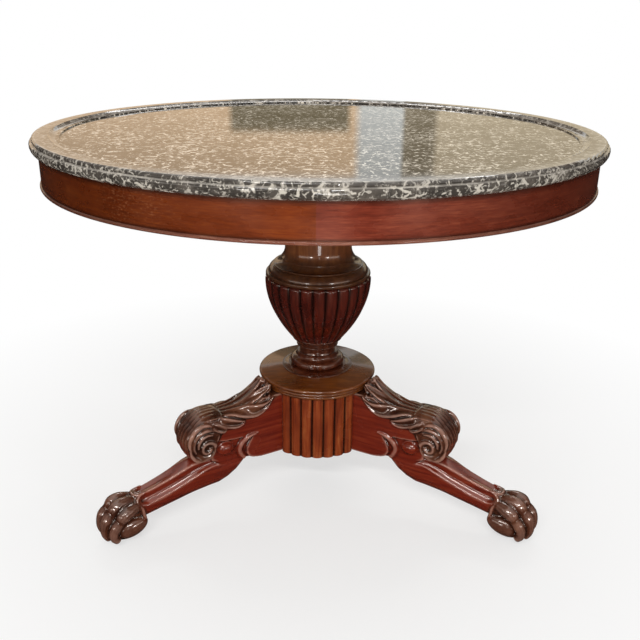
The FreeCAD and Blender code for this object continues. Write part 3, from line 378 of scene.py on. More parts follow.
shin_rings = []
angles = np.arange(0.0, 360.0, 1.5)
for run in np.linspace(SHIN_RUN[0], SHIN_RUN[-1], 170):
    low_edge = np.interp(run, ARRIS_RUN, LOW_ARRIS)
    high_edge = np.interp(run, ARRIS_RUN, HIGH_ARRIS)
    folded = np.where(angles > 270.0, angles - 360.0, angles)
    depth = np.zeros_like(angles)
    left = np.clip((FLUTE_STOP - run) / ARCH, 0.0, 1.0)
    open_half = math.sqrt(max(0.0, 1.0 - (1.0 - left) ** 2)) * 0.95
    for start, stop in ((low_edge, high_edge), (high_edge, 180.0 - high_edge),
                        (180.0 - high_edge, 180.0 - low_edge)):
        across = (folded - (start + stop) / 2.0) / ((stop - start) / 2.0)
        inside = np.abs(across) < open_half
        cut = FLUTE_DEPTH * (1.0 - (across / max(open_half, 1e-3)) ** 2) * (0.4 + 0.6 * open_half)
        depth = np.where(inside, cut * smooth_step(run, -12.0, 36.0), depth)
    shin_rings.append(shin_point(run, angles, -depth))
leg_shells.append(lofted("shin", shin_rings))

# The ankle: a thin raised border that follows the ends of the flutes and sweeps back under the paw.
BORDER_START = -18.0
BORDER_PROUD = 0.8
END_PROUD = 0.3
over_top = [shin_point(SHIN_LENGTH + BORDER_START, FLUTE_TOP, END_PROUD)]
for degrees, reach in ((62.0, -3.0), (74.0, 2.5), (90.0, 4.0), (106.0, 2.5), (118.0, -3.0)):
    over_top.append(shin_point(SHIN_LENGTH + reach, degrees, BORDER_PROUD))
over_top.append(shin_point(SHIN_LENGTH + BORDER_START, 180.0 - FLUTE_TOP, END_PROUD))
leg_shells.append(strand("arch_border", over_top, [1.4, 2.3, 2.6, 2.6, 2.6, 2.3, 1.4]))
for side in (-1.0, 1.0):
    down_side = []
    for degrees, reach in (
            (FLUTE_TOP, BORDER_START), (50.0, -3.0), (38.0, 1.5), (20.0, 1.5), (2.0, -1.5)):
        x, y, z = shin_point(SHIN_LENGTH + reach, degrees, BORDER_PROUD)
        down_side.append((x, side * y, z))
    for x, y, z in ((382.0, 23.0, 50.0), (380.0, 22.0, 42.0), (380.5, 20.0, 35.0)):
        down_side.append((x, side * y, z))
    leg_shells.append(strand("ankle_border", down_side, [1.4, 2.3, 2.8, 3.0, 3.2, 3.4, 3.2, 2.4]))

# The paw: toes with two knuckles each and round tips, over an oval cushion, and a pad at each side.
leg_shells.append(ball("cushion", (412.0, 0.0, 26.0), (37.0, 25.0, 27.5)))
leg_shells.append(ball("ankle_joint", (393.0, 0.0, 59.0), (25.0, 23.0, 25.0)))
for side in (-1.0, 1.0):
    leg_shells.append(ball("side_pad", (405.0, side * 17.5, 28.5), (31.0, 15.0, 18.0), tilt=16.0))
    for toe, sizes in (
            ([(386.0, 4.5, 73.0), (404.0, 7.5, 77.0), (418.0, 9.5, 77.5), (429.0, 10.5, 73.5),
              (437.5, 11.0, 64.5), (447.0, 11.5, 53.0), (451.5, 11.5, 39.5), (450.5, 11.5, 26.0),
              (445.5, 11.5, 14.0)], [8.0, 10.5, 12.6, 13.4, 10.4, 11.8, 10.2, 9.4, 7.6]),
            ([(386.0, 13.0, 67.0), (399.0, 20.0, 68.0), (411.0, 24.0, 65.5), (421.0, 26.0, 60.5),
              (428.0, 26.5, 52.0), (436.0, 26.8, 43.0), (441.0, 26.8, 32.0), (440.0, 26.5, 22.0),
              (434.0, 26.0, 14.0)], [8.0, 11.0, 13.0, 12.8, 9.2, 10.2, 9.4, 8.6, 7.0])):
        leg_shells.append(strand("toe", [(x, side * y, z) for x, y, z in toe], sizes))

# The forms become one skin, as the carver leaves one surface, and a few passes of smoothing take
# off the steps. The end against the drum and its cap follows their round, and the sole is flat on
# the floor.
VOXEL = 1.45
DRUM_FIT = 96.3
PAW_LEVEL = 60.0
CAP_FIT = 115.6
CAP_LEVEL = 229.5


def joined(pieces):
    """The first piece, with the others taken up into it."""
    deselect_all()
    for piece in pieces:
        piece.select_set(True)
    bpy.context.view_layer.objects.active = pieces[0]
    bpy.ops.object.join()
    return pieces[0]


leg = joined(leg_shells)
leg.name = "leg_model"
shaped(leg, "REMESH", mode="VOXEL", voxel_size=VOXEL)
shaped(leg, "SMOOTH", factor=0.5, iterations=4)
place = np.empty(len(leg.data.vertices) * 3)
leg.data.vertices.foreach_get("co", place)
place = place.reshape(-1, 3)
place[:, 2] = np.maximum(place[:, 2], 0.0)
for radius, level in ((DRUM_FIT, PAW_LEVEL), (CAP_FIT, CAP_LEVEL)):
    within = (np.hypot(place[:, 0], place[:, 1]) < radius) & (place[:, 2] > level)
    place[within, 0] = np.sqrt(radius ** 2 - place[within, 1] ** 2)

# How far each point stands in a hollow or on an edge, from the bend of the skin at two widths,
# so that the polish can be dark in the hollows, and pale on the edges with wear and a painted highlight.
edges = np.empty(len(leg.data.edges) * 2, np.int64)
leg.data.edges.foreach_get("vertices", edges)
edges = edges.reshape(-1, 2)
valence = np.bincount(edges.ravel(), minlength=len(place))[:, None]


def relaxed(points, rounds):
    """Values on the skin, each taken to the mean of its neighbours for a number of rounds."""
    for _ in range(rounds):
        total = np.zeros_like(points)
        for axis in range(points.shape[1]):
            total[:, axis] = (
                np.bincount(edges[:, 0], points[edges[:, 1], axis], len(points))
                + np.bincount(edges[:, 1], points[edges[:, 0], axis], len(points)))
        points = total / np.maximum(valence, 1)
    return points


leg.data.vertices.foreach_set("co", place.ravel())
leg.data.update()
facing = np.empty(len(place) * 3)
leg.data.vertex_normals.foreach_get("vector", facing)
facing = facing.reshape(-1, 3)
bend_fine = ((place - relaxed(place, 4)) * facing).sum(1)
bend_wide = ((place - relaxed(place, 24)) * facing).sum(1)
carve = np.clip(0.5 + 0.55 * bend_fine + 0.16 * bend_wide, 0.0, 1.0)
carve = relaxed(carve[:, None], 1)[:, 0]

# Where the dull carving is: the leaf above its edge, the scroll within its rim, and the paw. The
# boss stays plain and polished.
SCROLL_MIDDLE = (254.0, 158.0)
BOSS_MARK = (17.0, 14.0)
BOSS_CLEAN = 0.8
out, up = place[:, 0], place[:, 2]
leaf_edge = np.interp(out, [100, 112, 136, 155, 179, 196, 215, 240],
                      [226, 220, 205, 194, 192, 184, 184, 168])
in_leaf = smooth_step(up - leaf_edge, -3.0, 3.0)
rim_there = np.interp(np.degrees(np.arctan2(up - EYE[1], out - EYE[0])), turns, rim)
from_middle = np.hypot(out - SCROLL_MIDDLE[0], up - SCROLL_MIDDLE[1])
in_scroll = 1.0 - smooth_step(from_middle - rim_there, -4.0, 5.0)
in_paw = smooth_step(out - 0.2 * (up - PAW_LEVEL), 372.0, 392.0)
from_boss = np.hypot((out - BOSS[0]) / BOSS_MARK[0], (up - BOSS[2]) / BOSS_MARK[1])
on_boss = 1.0 - smooth_step(from_boss, 0.92, 1.15)
dull = np.maximum(np.maximum(in_leaf, in_scroll), in_paw) * (1.0 - on_boss)
carve = carve * (1.0 - BOSS_CLEAN * on_boss) + 0.5 * BOSS_CLEAN * on_boss
MM = 0.001
for name, values in (("carve", carve), ("dull", dull)):
    layer = leg.data.attributes.new(name, "FLOAT", "POINT")
    layer.data.foreach_set("value", values.astype(np.float32))
layer = leg.data.attributes.new("along_leg", "FLOAT_VECTOR", "POINT")
layer.data.foreach_set("vector", (place * MM).astype(np.float32).ravel())
activate(leg)
bpy.ops.object.shade_smooth()

# The dovetail keeps its sharp corners, so it joins the skin after the smoothing.
TAIL_LEVELS = (102.3, 203.0)
tail_outline = [(96.5, -13.6), (96.5, 13.6), (72.2, 18.6), (72.2, -18.6)]
tail = lofted("dovetail", [[(x, y, z) for x, y in tail_outline] for z in TAIL_LEVELS])
joined([leg, tail])


def linear(code):
    """Linear colour from an sRGB hex value."""
    channels = [int(code[i:i + 2], 16) / 255.0 for i in (1, 3, 5)]
    return tuple(c / 12.92 if c <= 0.04045 else ((c + 0.055) / 1.055) ** 2.4 for c in channels) + (1.0,)


def put(tree, kind, inputs=None, stops=None, **settings):
    """Adds a shader node, sets its properties, colour stops and sockets, and links other nodes."""
    node = tree.nodes.new("ShaderNode" + kind)
    for name, value in settings.items():
        setattr(node, name, value)
    if stops:
        while len(node.color_ramp.elements) < len(stops):
            node.color_ramp.elements.new(0.5)
        for element, (position, colour) in zip(node.color_ramp.elements, stops):
            element.position = position
            element.color = colour
    for key, value in (inputs or {}).items():
        if isinstance(value, bpy.types.NodeSocket):
            tree.links.new(value, node.inputs[key])
        else:
            node.inputs[key].default_value = value
    return node


def ranged(tree, value, start, end, low=0.0, high=1.0):
    """A value carried over from the span of start to end to that of low to high, and held there."""
    return put(tree, "MapRange", {"Value": value, "From Min": start, "From Max": end,
                                  "To Min": low, "To Max": high}).outputs["Result"]


def worked(tree, operation, *terms):
    """The result of an operation on numbers and values."""
    return put(tree, "Math", dict(enumerate(terms)), operation=operation).outputs[0]


def noise(tree, place, size, detail, roughness=0.5, distortion=0.0, output="Fac"):
    """Cloudy noise with features of a size in metres."""
    return put(tree, "TexNoise", {"Vector": place, "Scale": 1 / size, "Detail": detail,
                                  "Roughness": roughness, "Distortion": distortion}).outputs[output]


def stretched(tree, place, sizes):
    """Coordinates drawn out, so that noise of size one has these sizes in metres along the axes."""
    return put(tree, "Mapping", {"Vector": place, "Scale": [1 / size for size in sizes]}).outputs[0]


def ramp(tree, value, *stops):
    """A colour for a value, from stops of a position and an sRGB hex value."""
    stops = [(position, linear(code)) for position, code in stops]
    return put(tree, "ValToRGB", {"Fac": value}, stops=stops).outputs["Color"]


def tinted(tree, factor, under, over):
    """One colour over another by a factor."""
    return put(tree, "Mix", {"Factor": factor, "A": under, "B": over}, data_type="RGBA").outputs["Result"]


def new_material(name):
    material = bpy.data.materials.new(name)
    material.use_nodes = True
    material.node_tree.nodes.clear()
    return material, material.node_tree


def finish_material(tree, shader):
    put(tree, "OutputMaterial", {"Surface": shader.outputs[0]})


POLISH_TINT = linear("#FFDCC8")

# Carved mahogany under old french polish: deep red-brown on the plain faces, browner and duller
# on the carving, nearly black with wax in the hollows, and pale on the edges, partly from rubbed wear and
# partly as a painted highlight.
carved, tree = new_material("carved_mahogany")
leg_place = put(tree, "Attribute", attribute_name="along_leg").outputs["Vector"]
carve_depth = put(tree, "Attribute", attribute_name="carve").outputs["Fac"]
dullness = put(tree, "Attribute", attribute_name="dull").outputs["Fac"]
lengthwise = put(tree, "Mapping", {"Vector": leg_place, "Rotation": (0.0, math.radians(14.0), 0.0),
                                   "Scale": (1 / 0.110, 1 / 0.006, 1 / 0.006)}).outputs[0]
grain = noise(tree, lengthwise, 1.0, 5.0, 0.6, 0.3)
cloud = noise(tree, leg_place, 0.045, 3.0)
plain_wood = ramp(tree, grain, (0.25, "#50140B"), (0.5, "#6C2011"), (0.75, "#803019"))
dull_wood = ramp(tree, cloud, (0.3, "#2E140B"), (0.55, "#4E2819"), (0.8, "#70462F"))
body = tinted(tree, dullness, plain_wood, dull_wood)
# The edges are tinted pale: rubbed wear, and a painted highlight in place of the shine on them.
edge = ranged(tree, carve_depth, 0.62, 1.0, high=0.4)
worn_and_highlit = tinted(tree, edge, body, linear("#CC9C88"))
hollow = ranged(tree, carve_depth, 0.42, 0.0)
waxed = tinted(tree, hollow, worn_and_highlit, linear("#0C0403"))
rough = ranged(tree, cloud, 0.3, 0.7, 0.18, 0.3)
ripple = put(tree, "Bump", {"Height": grain, "Strength": 0.08, "Distance": 0.0006}).outputs["Normal"]
shader = put(tree, "BsdfPrincipled", {"Base Color": waxed, "Roughness": rough, "Normal": ripple,
                                      "Specular IOR Level": 0.4, "Specular Tint": POLISH_TINT,
                                      "Coat Weight": 1.0, "Coat Roughness": 0.12})
finish_material(tree, shader)
leg.data.materials.clear()
leg.data.materials.append(carved)
ROOT = "pedestal"
for name, azimuth in (("left", 210.0), ("right", 330.0), ("back", 90.0)):
    copy = bpy.data.objects.new("carved_leg_" + name, leg.data.copy())
    bpy.context.scene.collection.objects.link(copy)
    copy.data.transform(Matrix.Rotation(math.radians(azimuth), 4, "Z") @ Matrix.Scale(MM, 4))
    copy.data.update()
    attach(copy, ROOT)
    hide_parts("leg_" + name)
bpy.data.objects.remove(leg)


# Drum: a turned core, out of sight, with a reeded panel let in between each two legs and a turned
# cap on top. Straight-grained mahogany, french polished.
LEG_BEARING = -150.0


def polished_mahogany(name, dark, middle, pale, grain_mm, cloud_mm, rough_low=0.2, valleys=None,
                      painted_shade=None):
    """Turned or moulded mahogany: streaks of red-brown under a clear gloss. The grain has a size in
    millimetres along each axis. Valleys are the repeat, the first place after the left leg and the
    pitch, in degrees, of grooves darkened by dark wax and by painted shade. The last argument gives
    the level in metres below which the colour is darkened as painted shade, and where that ends."""
    material, tree = new_material(name)
    place = put(tree, "TexCoord").outputs["Object"]
    drawn = stretched(tree, place, [MM * size for size in grain_mm])
    grain = noise(tree, drawn, 1.0, 6.0, 0.62, 0.5)
    cloud = noise(tree, place, MM * cloud_mm, 2.0)
    figure = put(tree, "Mix", {"Factor": 0.35, "A": grain, "B": cloud}).outputs["Result"]
    colour = ramp(tree, figure, (0.32, dark), (0.5, middle), (0.68, pale))
    if valleys:
        repeat, first, pitch = [math.radians(value) for value in valleys]
        split = put(tree, "SeparateXYZ", {"Vector": place}).outputs
        bearing = worked(tree, "ARCTAN2", split["Y"], split["X"])
        bearing = worked(tree, "ADD", bearing, math.radians(-LEG_BEARING))
        bearing = worked(tree, "FLOORED_MODULO", bearing, repeat)
        wave = worked(tree, "MULTIPLY_ADD", bearing, math.pi / pitch, -math.pi * first / pitch)
        wave = worked(tree, "SINE", wave)
        wave = worked(tree, "ABSOLUTE", wave)
        # The grooves are darkened with dark wax and with painted shade.
        wax_and_shade = ranged(tree, wave, 0.55, 0.12, high=0.92)
        colour = tinted(tree, wax_and_shade, colour, linear("#140403"))
    # Below a level the colour is darkened as painted shade.
    if painted_shade:
        level = put(tree, "SeparateXYZ", {"Vector": place}).outputs["Z"]
        depth = ranged(tree, level, painted_shade[1], painted_shade[0], high=0.62)
        colour = tinted(tree, depth, colour, linear("#140503"))
    rough = ranged(tree, cloud, 0.3, 0.7, rough_low, rough_low + 0.14)
    ripple = put(tree, "Bump", {"Height": grain, "Strength": 0.06, "Distance": 0.0005}).outputs["Normal"]
    shader = put(tree, "BsdfPrincipled", {"Base Color": colour, "Roughness": rough, "Normal": ripple,
                                          "Specular IOR Level": 0.4, "Specular Tint": POLISH_TINT,
                                          "Coat Weight": 0.7, "Coat Roughness": 0.08})
    finish_material(tree, shader)
    return material


def dress(material, *names):
    """Gives CAD pieces their material."""
    for name in names:
        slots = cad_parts[name].data.materials
        slots.clear()
        slots.append(material)


# The grooves between the reeds are darkened with wax and painted shade.
reed_wood = polished_mahogany("reeded_mahogany", "#541C0E", "#803618", "#9E562A", (7.0, 7.0, 130.0), 60.0,
                              valleys=(120.0, 16.46, 12.44))
dress(reed_wood, "reeded_panel_1", "reeded_panel_2", "reeded_panel_3")
cap_wood = polished_mahogany("cap_mahogany", "#3C1A08", "#5E2E0E", "#7C4416", (60.0, 7.0, 7.0), 80.0)
dress(cap_wood, "drum_cap", "drum_core")

# Column: three turned pieces of mahogany stacked on spigots, a foot with its torus, a vase carved
# with gadroons, and a plain neck with shoulder rings. All are french polished, the vase darkest.
GADROONS = 26
foot_wood = polished_mahogany("foot_mahogany", "#280C05", "#421A0C", "#5C2C16", (8.0, 8.0, 90.0), 50.0)
# The valleys between the gadroons are darkened with wax and painted shade.
vase_wood = polished_mahogany("vase_mahogany", "#2E0A06", "#48120A", "#602012", (8.0, 8.0, 110.0), 60.0,
                              valleys=(360.0, 11.538, 360.0 / GADROONS))
# The neck's lower rings are darkened with painted shade.
neck_wood = polished_mahogany("neck_mahogany", "#46200C", "#6C3A1A", "#8A5226", (9.0, 9.0, 120.0), 60.0,
                              rough_low=0.28, painted_shade=(0.484, 0.500))
dress(foot_wood, "column_foot")
dress(vase_wood, "column_vase")
dress(neck_wood, "column_neck")


# Tie rod: an iron bar up through the drum, the column and the bearers, with a washer and a nut at
# each end, and iron screws that hold the frieze on the bearers. Wrought iron, black from the fire
# and rusted a little.
iron, tree = new_material("wrought_iron")
place = put(tree, "TexCoord").outputs["Object"]
scale_marks = noise(tree, place, 0.006, 5.0)
colour = ramp(tree, scale_marks, (0.35, "#2A2826"), (0.55, "#3E3934"), (0.7, "#5A3E2C"))
rough = ranged(tree, scale_marks, 0.0, 1.0, 0.4, 0.75)
shader = put(tree, "BsdfPrincipled", {"Base Color": colour, "Roughness": rough, "Metallic": 0.7})
finish_material(tree, shader)
dress(iron, "tie_rod", "tie_rod_washer_bottom", "tie_rod_nut_bottom", "tie_rod_washer_top",
      "tie_rod_nut_top", "bearer_screws")


# Bearers: two oak bars halved across each other, planed and left raw, with their ends let into the
# core of the frieze from below.
def raw_wood(name, dark, middle, pale, grain_mm):
    """Sawn or planed wood without polish: pale, dull and streaked along its grain."""
    material, tree = new_material(name)
    place = put(tree, "TexCoord").outputs["Object"]
    drawn = stretched(tree, place, [MM * size for size in grain_mm])
    grain = noise(tree, drawn, 1.0, 6.0, 0.6, 0.6)
    colour = ramp(tree, grain, (0.3, dark), (0.5, middle), (0.7, pale))
    rough = ranged(tree, grain, 0.0, 1.0, 0.6, 0.85)
    ripple = put(tree, "Bump", {"Height": grain, "Strength": 0.15, "Distance": 0.0008}).outputs["Normal"]
    shader = put(tree, "BsdfPrincipled", {"Base Color": colour, "Roughness": rough, "Normal": ripple})
    finish_material(tree, shader)
    return material


dress(raw_wood("oak_along_x", "#5E4228", "#7C5A38", "#96734C", (160.0, 7.0, 7.0)), "bearer_long")
dress(raw_wood("oak_along_y", "#5E4228", "#7C5A38", "#96734C", (7.0, 160.0, 7.0)), "bearer_cross")

# Frieze: a core of sawn pine bricks in two courses, faced with mahogany veneer in four leaves, with
# a bead planted along the lower edge. French polished to a gloss.
pine = raw_wood("sawn_pine", "#8A6238", "#A97F4E", "#C19A66", (30.0, 30.0, 5.0))
for number in range(1, 7):
    dress(pine, "core_lower_brick_%d" % number, "core_upper_brick_%d" % number)
FRIEZE_RADIUS = 0.478


def veneer_mahogany(name, dark, middle, pale, line_depth=0.7):
    """Veneer laid with its grain around the frieze: the pattern runs along the arc. It is darker in a line
    where it meets the bead, with a painted shadow under the marble, and painted shade at the sides."""
    material, tree = new_material(name)
    place = put(tree, "TexCoord").outputs["Object"]
    split = put(tree, "SeparateXYZ", {"Vector": place}).outputs
    bearing = worked(tree, "ARCTAN2", split["Y"], split["X"])
    arc = worked(tree, "MULTIPLY", bearing, FRIEZE_RADIUS)
    rolled = put(tree, "CombineXYZ", {"X": arc, "Y": split["Z"]}).outputs[0]
    drawn = stretched(tree, rolled, (0.120, 0.005, 1.0))
    grain = noise(tree, drawn, 1.0, 6.0, 0.6, 0.6)
    ribbon = stretched(tree, rolled, (0.060, 0.030, 1.0))
    figure = noise(tree, ribbon, 1.0, 3.0)
    fibres = stretched(tree, rolled, (0.018, 0.0016, 1.0))
    fibre = noise(tree, fibres, 1.0, 3.0)
    blend = put(tree, "Mix", {"Factor": 0.45, "A": grain, "B": figure}).outputs["Result"]
    blend = put(tree, "Mix", {"Factor": 0.35, "A": blend, "B": fibre}).outputs["Result"]
    colour = ramp(tree, blend, (0.3, dark), (0.5, middle), (0.7, pale))
    chips = stretched(tree, rolled, (0.006, 0.0026, 1.0))
    scuffs = noise(tree, chips, 1.0, 3.0)
    patch = noise(tree, rolled, 0.16, 2.0)
    pale_marks = worked(tree, "MULTIPLY", scuffs, patch)
    scratch = ranged(tree, pale_marks, 0.34, 0.44, high=0.32)
    veneer_colour = tinted(tree, scratch, colour, linear("#B0714A"))
    # Towards the sides the colour is darkened with painted shade.
    beside = worked(tree, "ABSOLUTE", split["X"])
    side_shade = ranged(tree, beside, 0.04, 0.30, high=0.48)
    veneer_colour = tinted(tree, side_shade, veneer_colour, linear("#1E0C03"))
    # A dark line just above the bead, and a painted shadow under the overhang of the marble.
    foot_line = ranged(tree, split["Z"], 0.6500, 0.6462, high=line_depth)
    under_top_shadow = ranged(tree, split["Z"], 0.6880, 0.6965, high=line_depth)
    dark_lines = worked(tree, "MAXIMUM", foot_line, under_top_shadow)
    veneer_colour = tinted(tree, dark_lines, veneer_colour, linear("#1E0803"))
    rough = ranged(tree, figure, 0.3, 0.7, 0.22, 0.34)
    ripple = put(tree, "Bump", {"Height": grain, "Strength": 0.05, "Distance": 0.0004}).outputs["Normal"]
    shader = put(tree, "BsdfPrincipled", {"Base Color": veneer_colour, "Roughness": rough, "Normal": ripple,
                                          "Specular IOR Level": 0.3, "Specular Tint": POLISH_TINT,
                                          "Coat Weight": 0.2, "Coat Roughness": 0.08})
    finish_material(tree, shader)
    return material


orange_leaf = veneer_mahogany("veneer_mahogany_orange", "#461602", "#682604", "#853C09")
red_leaf = veneer_mahogany("veneer_mahogany_red", "#46160C", "#6A2616", "#8A4028")
dress(orange_leaf, "frieze_veneer_3", "frieze_veneer_4")
dress(red_leaf, "frieze_veneer_1", "frieze_veneer_2")
bead_wood = veneer_mahogany("bead_mahogany", "#50221A", "#744434", "#A0725E", 0.0)
dress(bead_wood, "frieze_bead_1", "frieze_bead_2", "frieze_bead_3", "frieze_bead_4")


# Marble top: one slab of charcoal-grey stone full of short cream worm-like veins, moulded at the
# rim, dished to a sunk field and polished. It lies loose on the frieze.
FIELD_EDGE = 0.4475
RIM_EDGE = 0.4490
marble, tree = new_material("grey_vermicular_marble")
place = put(tree, "TexCoord").outputs["Object"]
moved = place
for swirl_mm, sway_mm in ((60.0, 24.0), (12.0, 8.0), (4.0, 2.0)):
    swirl = noise(tree, place, MM * swirl_mm, 2.0, output="Color")
    sway = put(tree, "VectorMath", {0: swirl, 1: (0.5, 0.5, 0.5)}, operation="SUBTRACT").outputs[0]
    sway = put(tree, "VectorMath", {0: sway, 3: MM * sway_mm}, operation="SCALE").outputs[0]
    moved = put(tree, "VectorMath", {0: moved, 1: sway}, operation="ADD").outputs[0]
fleck = noise(tree, place, 0.0032, 2.0)
fleck = ranged(tree, fleck, 0.56, 0.66)
crowd = noise(tree, moved, 0.030, 2.0)
crowd = ranged(tree, crowd, 0.46, 0.62, high=0.4)
veins = worked(tree, "MULTIPLY", fleck, crowd)
split = put(tree, "SeparateXYZ", {"Vector": place}).outputs
flat = put(tree, "CombineXYZ", {"X": split["X"], "Y": split["Y"]}).outputs[0]
reach = put(tree, "VectorMath", {0: flat}, operation="LENGTH").outputs["Value"]
at_rim = ranged(tree, reach, FIELD_EDGE, RIM_EDGE)
drift = noise(tree, place, 0.120, 1.0)
drift = worked(tree, "MULTIPLY_ADD", at_rim, 0.07, drift)
broken = noise(tree, place, 0.008, 2.0)
broken = ranged(tree, broken, 0.42, 0.50)
for cell_mm, thick_mm, patch_mm, low, high, strength in (
        (19.0, 3.6, 14.0, 0.64, 0.70, 1.0), (9.0, 2.2, 11.0, 0.66, 0.76, 0.75)):
    gap = put(tree, "TexVoronoi", {"Vector": moved, "Scale": 1 / (MM * cell_mm)},
              feature="DISTANCE_TO_EDGE").outputs["Distance"]
    half = thick_mm / cell_mm / 2.0
    line = put(tree, "MapRange", {"Value": gap, "From Min": half, "From Max": half * 0.4},
               interpolation_type="SMOOTHSTEP").outputs["Result"]
    patch = noise(tree, moved, MM * patch_mm, 2.0, 0.6)
    patch = worked(tree, "MULTIPLY_ADD", drift, 0.35, patch)
    shown = ranged(tree, patch, low, high)
    worm = worked(tree, "MULTIPLY", line, shown)
    worm = worked(tree, "MULTIPLY", worm, broken)
    worm = worked(tree, "MULTIPLY", worm, strength)
    veins = worked(tree, "MAXIMUM", veins, worm)
cloud = noise(tree, place, 0.040, 8.0, 0.65)
ground = ramp(tree, cloud, (0.3, "#1A1715"), (0.5, "#332E2A"), (0.72, "#625850"))
rim_ground = ramp(tree, cloud, (0.3, "#282522"), (0.5, "#423D38"), (0.72, "#6C645B"))
# The field is darker and its veins are creamier than the rim's, and the raised rim is painted pale,
# partly as rubbed wear and partly as painted highlight, most in its cove and along the arrises at its
# top and at the quirk under it.
ground = tinted(tree, at_rim, ground, rim_ground)
vein_tone = tinted(tree, at_rim, linear("#F8EEDE"), linear("#B6AFA3"))
stone = tinted(tree, veins, ground, vein_tone)
pale_marks = 0.0
# Pale bands of worn stone and painted highlight on the rim.
for value, start, middle, end, most in (
        (reach, 0.4465, 0.4485, 0.463, 0.5), (reach, 0.456, 0.4795, 0.4845, 0.38),
        (reach, 0.4785, 0.4810, 0.4835, 0.75), (split["Z"], 0.7128, 0.7141, 0.7154, 0.6)):
    rise = ranged(tree, value, start, middle)
    fall = ranged(tree, value, end, middle)
    band = worked(tree, "MULTIPLY", rise, fall)
    band = worked(tree, "MULTIPLY", band, most)
    pale_marks = worked(tree, "MAXIMUM", pale_marks, band)
patchy = ranged(tree, crowd, 0.0, 0.25, 0.5)
pale_marks = worked(tree, "MULTIPLY", pale_marks, at_rim)
pale_marks = worked(tree, "MULTIPLY", pale_marks, patchy)
stone = tinted(tree, pale_marks, stone, linear("#E0D8CC"))
shader = put(tree, "BsdfPrincipled", {"Base Color": stone, "Roughness": 0.05, "Specular IOR Level": 0.4})
finish_material(tree, shader)
dress(marble, "marble_top")


# Stage: a pale floor that runs out into a white surround, soft lamps, and the camera at the
# photograph's angle.
deselect_all()
bpy.ops.mesh.primitive_plane_add(size=30.0, location=(0.0, 0.0, 0.0))
floor = bpy.context.object
floor.name = "floor"
floor_paint, tree = new_material("floor_paint")
place = put(tree, "TexCoord").outputs["Object"]
away = put(tree, "VectorMath", {0: place}, operation="LENGTH").outputs["Value"]
fade = ranged(tree, away, 0.35, 1.2, 0.55)
matt = put(tree, "BsdfDiffuse", {"Color": linear("#F6F5F3")}).outputs[0]
glow = put(tree, "Emission", {"Color": (1.0, 1.0, 1.0, 1.0), "Strength": 1.0}).outputs[0]
path = put(tree, "LightPath").outputs
seen = worked(tree, "ADD", path["Is Camera Ray"], path["Is Glossy Ray"])
seen = put(tree, "Math", {0: seen, 1: fade}, operation="MULTIPLY", use_clamp=True).outputs[0]
shader = put(tree, "MixShader", {0: seen, 1: matt, 2: glow})
finish_material(tree, shader)
floor.data.materials.append(floor_paint)

# The surround: white to the camera and in the polish, and dimmer as a light.
world = bpy.data.worlds.new("surround")
bpy.context.scene.world = world
world.use_nodes = True
tree = world.node_tree
tree.nodes.clear()
path = put(tree, "LightPath").outputs
seen = worked(tree, "ADD", path["Is Camera Ray"], path["Is Glossy Ray"])
seen = put(tree, "Math", {0: seen, 1: path["Is Transmission Ray"]}, operation="ADD",
           use_clamp=True).outputs[0]
strength = ranged(tree, seen, 0.0, 1.0, 0.45)
white = put(tree, "Background", {"Color": (1.0, 1.0, 1.0, 1.0), "Strength": strength})
put(tree, "OutputWorld", {"Surface": white.outputs[0]})

# A warm card behind the table, out of the picture, that only the polish and the marble mirror.
deselect_all()
bpy.ops.mesh.primitive_plane_add(size=1.0)
card = bpy.context.object
card.name = "card"
card.data.transform(Matrix.Translation((0.0, 2.6, 1.5)) @ Matrix.Rotation(math.radians(90.0), 4, "X")
                    @ Matrix.Diagonal((5.2, 1.7, 1.0, 1.0)))
card_cloth, tree = new_material("card_cloth")
place = put(tree, "TexCoord").outputs["Object"]
split = put(tree, "SeparateXYZ", {"Vector": place}).outputs
side_share = ranged(tree, split["X"], -1.4, 1.4)
tone = ramp(tree, side_share, (0.0, "#DEBF9C"), (0.585, "#ECCAA2"), (0.6, "#D8DAD6"),
            (0.672, "#D8DAD6"), (0.68, "#8E826A"), (0.73, "#8E826A"), (0.742, "#D2C1A2"))
low_part = ranged(tree, split["Z"], 1.10, 1.07)
left_part = ranged(tree, split["X"], -0.40, -0.365)
right_part = ranged(tree, split["X"], 0.235, 0.2)
shade = worked(tree, "MULTIPLY", left_part, right_part)
shade = worked(tree, "MULTIPLY", shade, low_part)
tone = tinted(tree, shade, tone, linear("#7E735A"))
above = ranged(tree, split["Z"], 1.29, 1.36)
tone = tinted(tree, above, tone, linear("#F4F3F0"))
top_part = ranged(tree, split["Z"], 1.40, 1.50)
tone = tinted(tree, top_part, tone, linear("#5C4630"))
shader = put(tree, "Emission", {"Color": tone, "Strength": 1.25})
finish_material(tree, shader)
card.data.materials.append(card_cloth)


def mirrored_only(piece):
    """A piece of the room that shows in polish alone."""
    piece.visible_camera = False
    piece.visible_diffuse = False
    piece.visible_transmission = False
    piece.visible_shadow = False


mirrored_only(card)

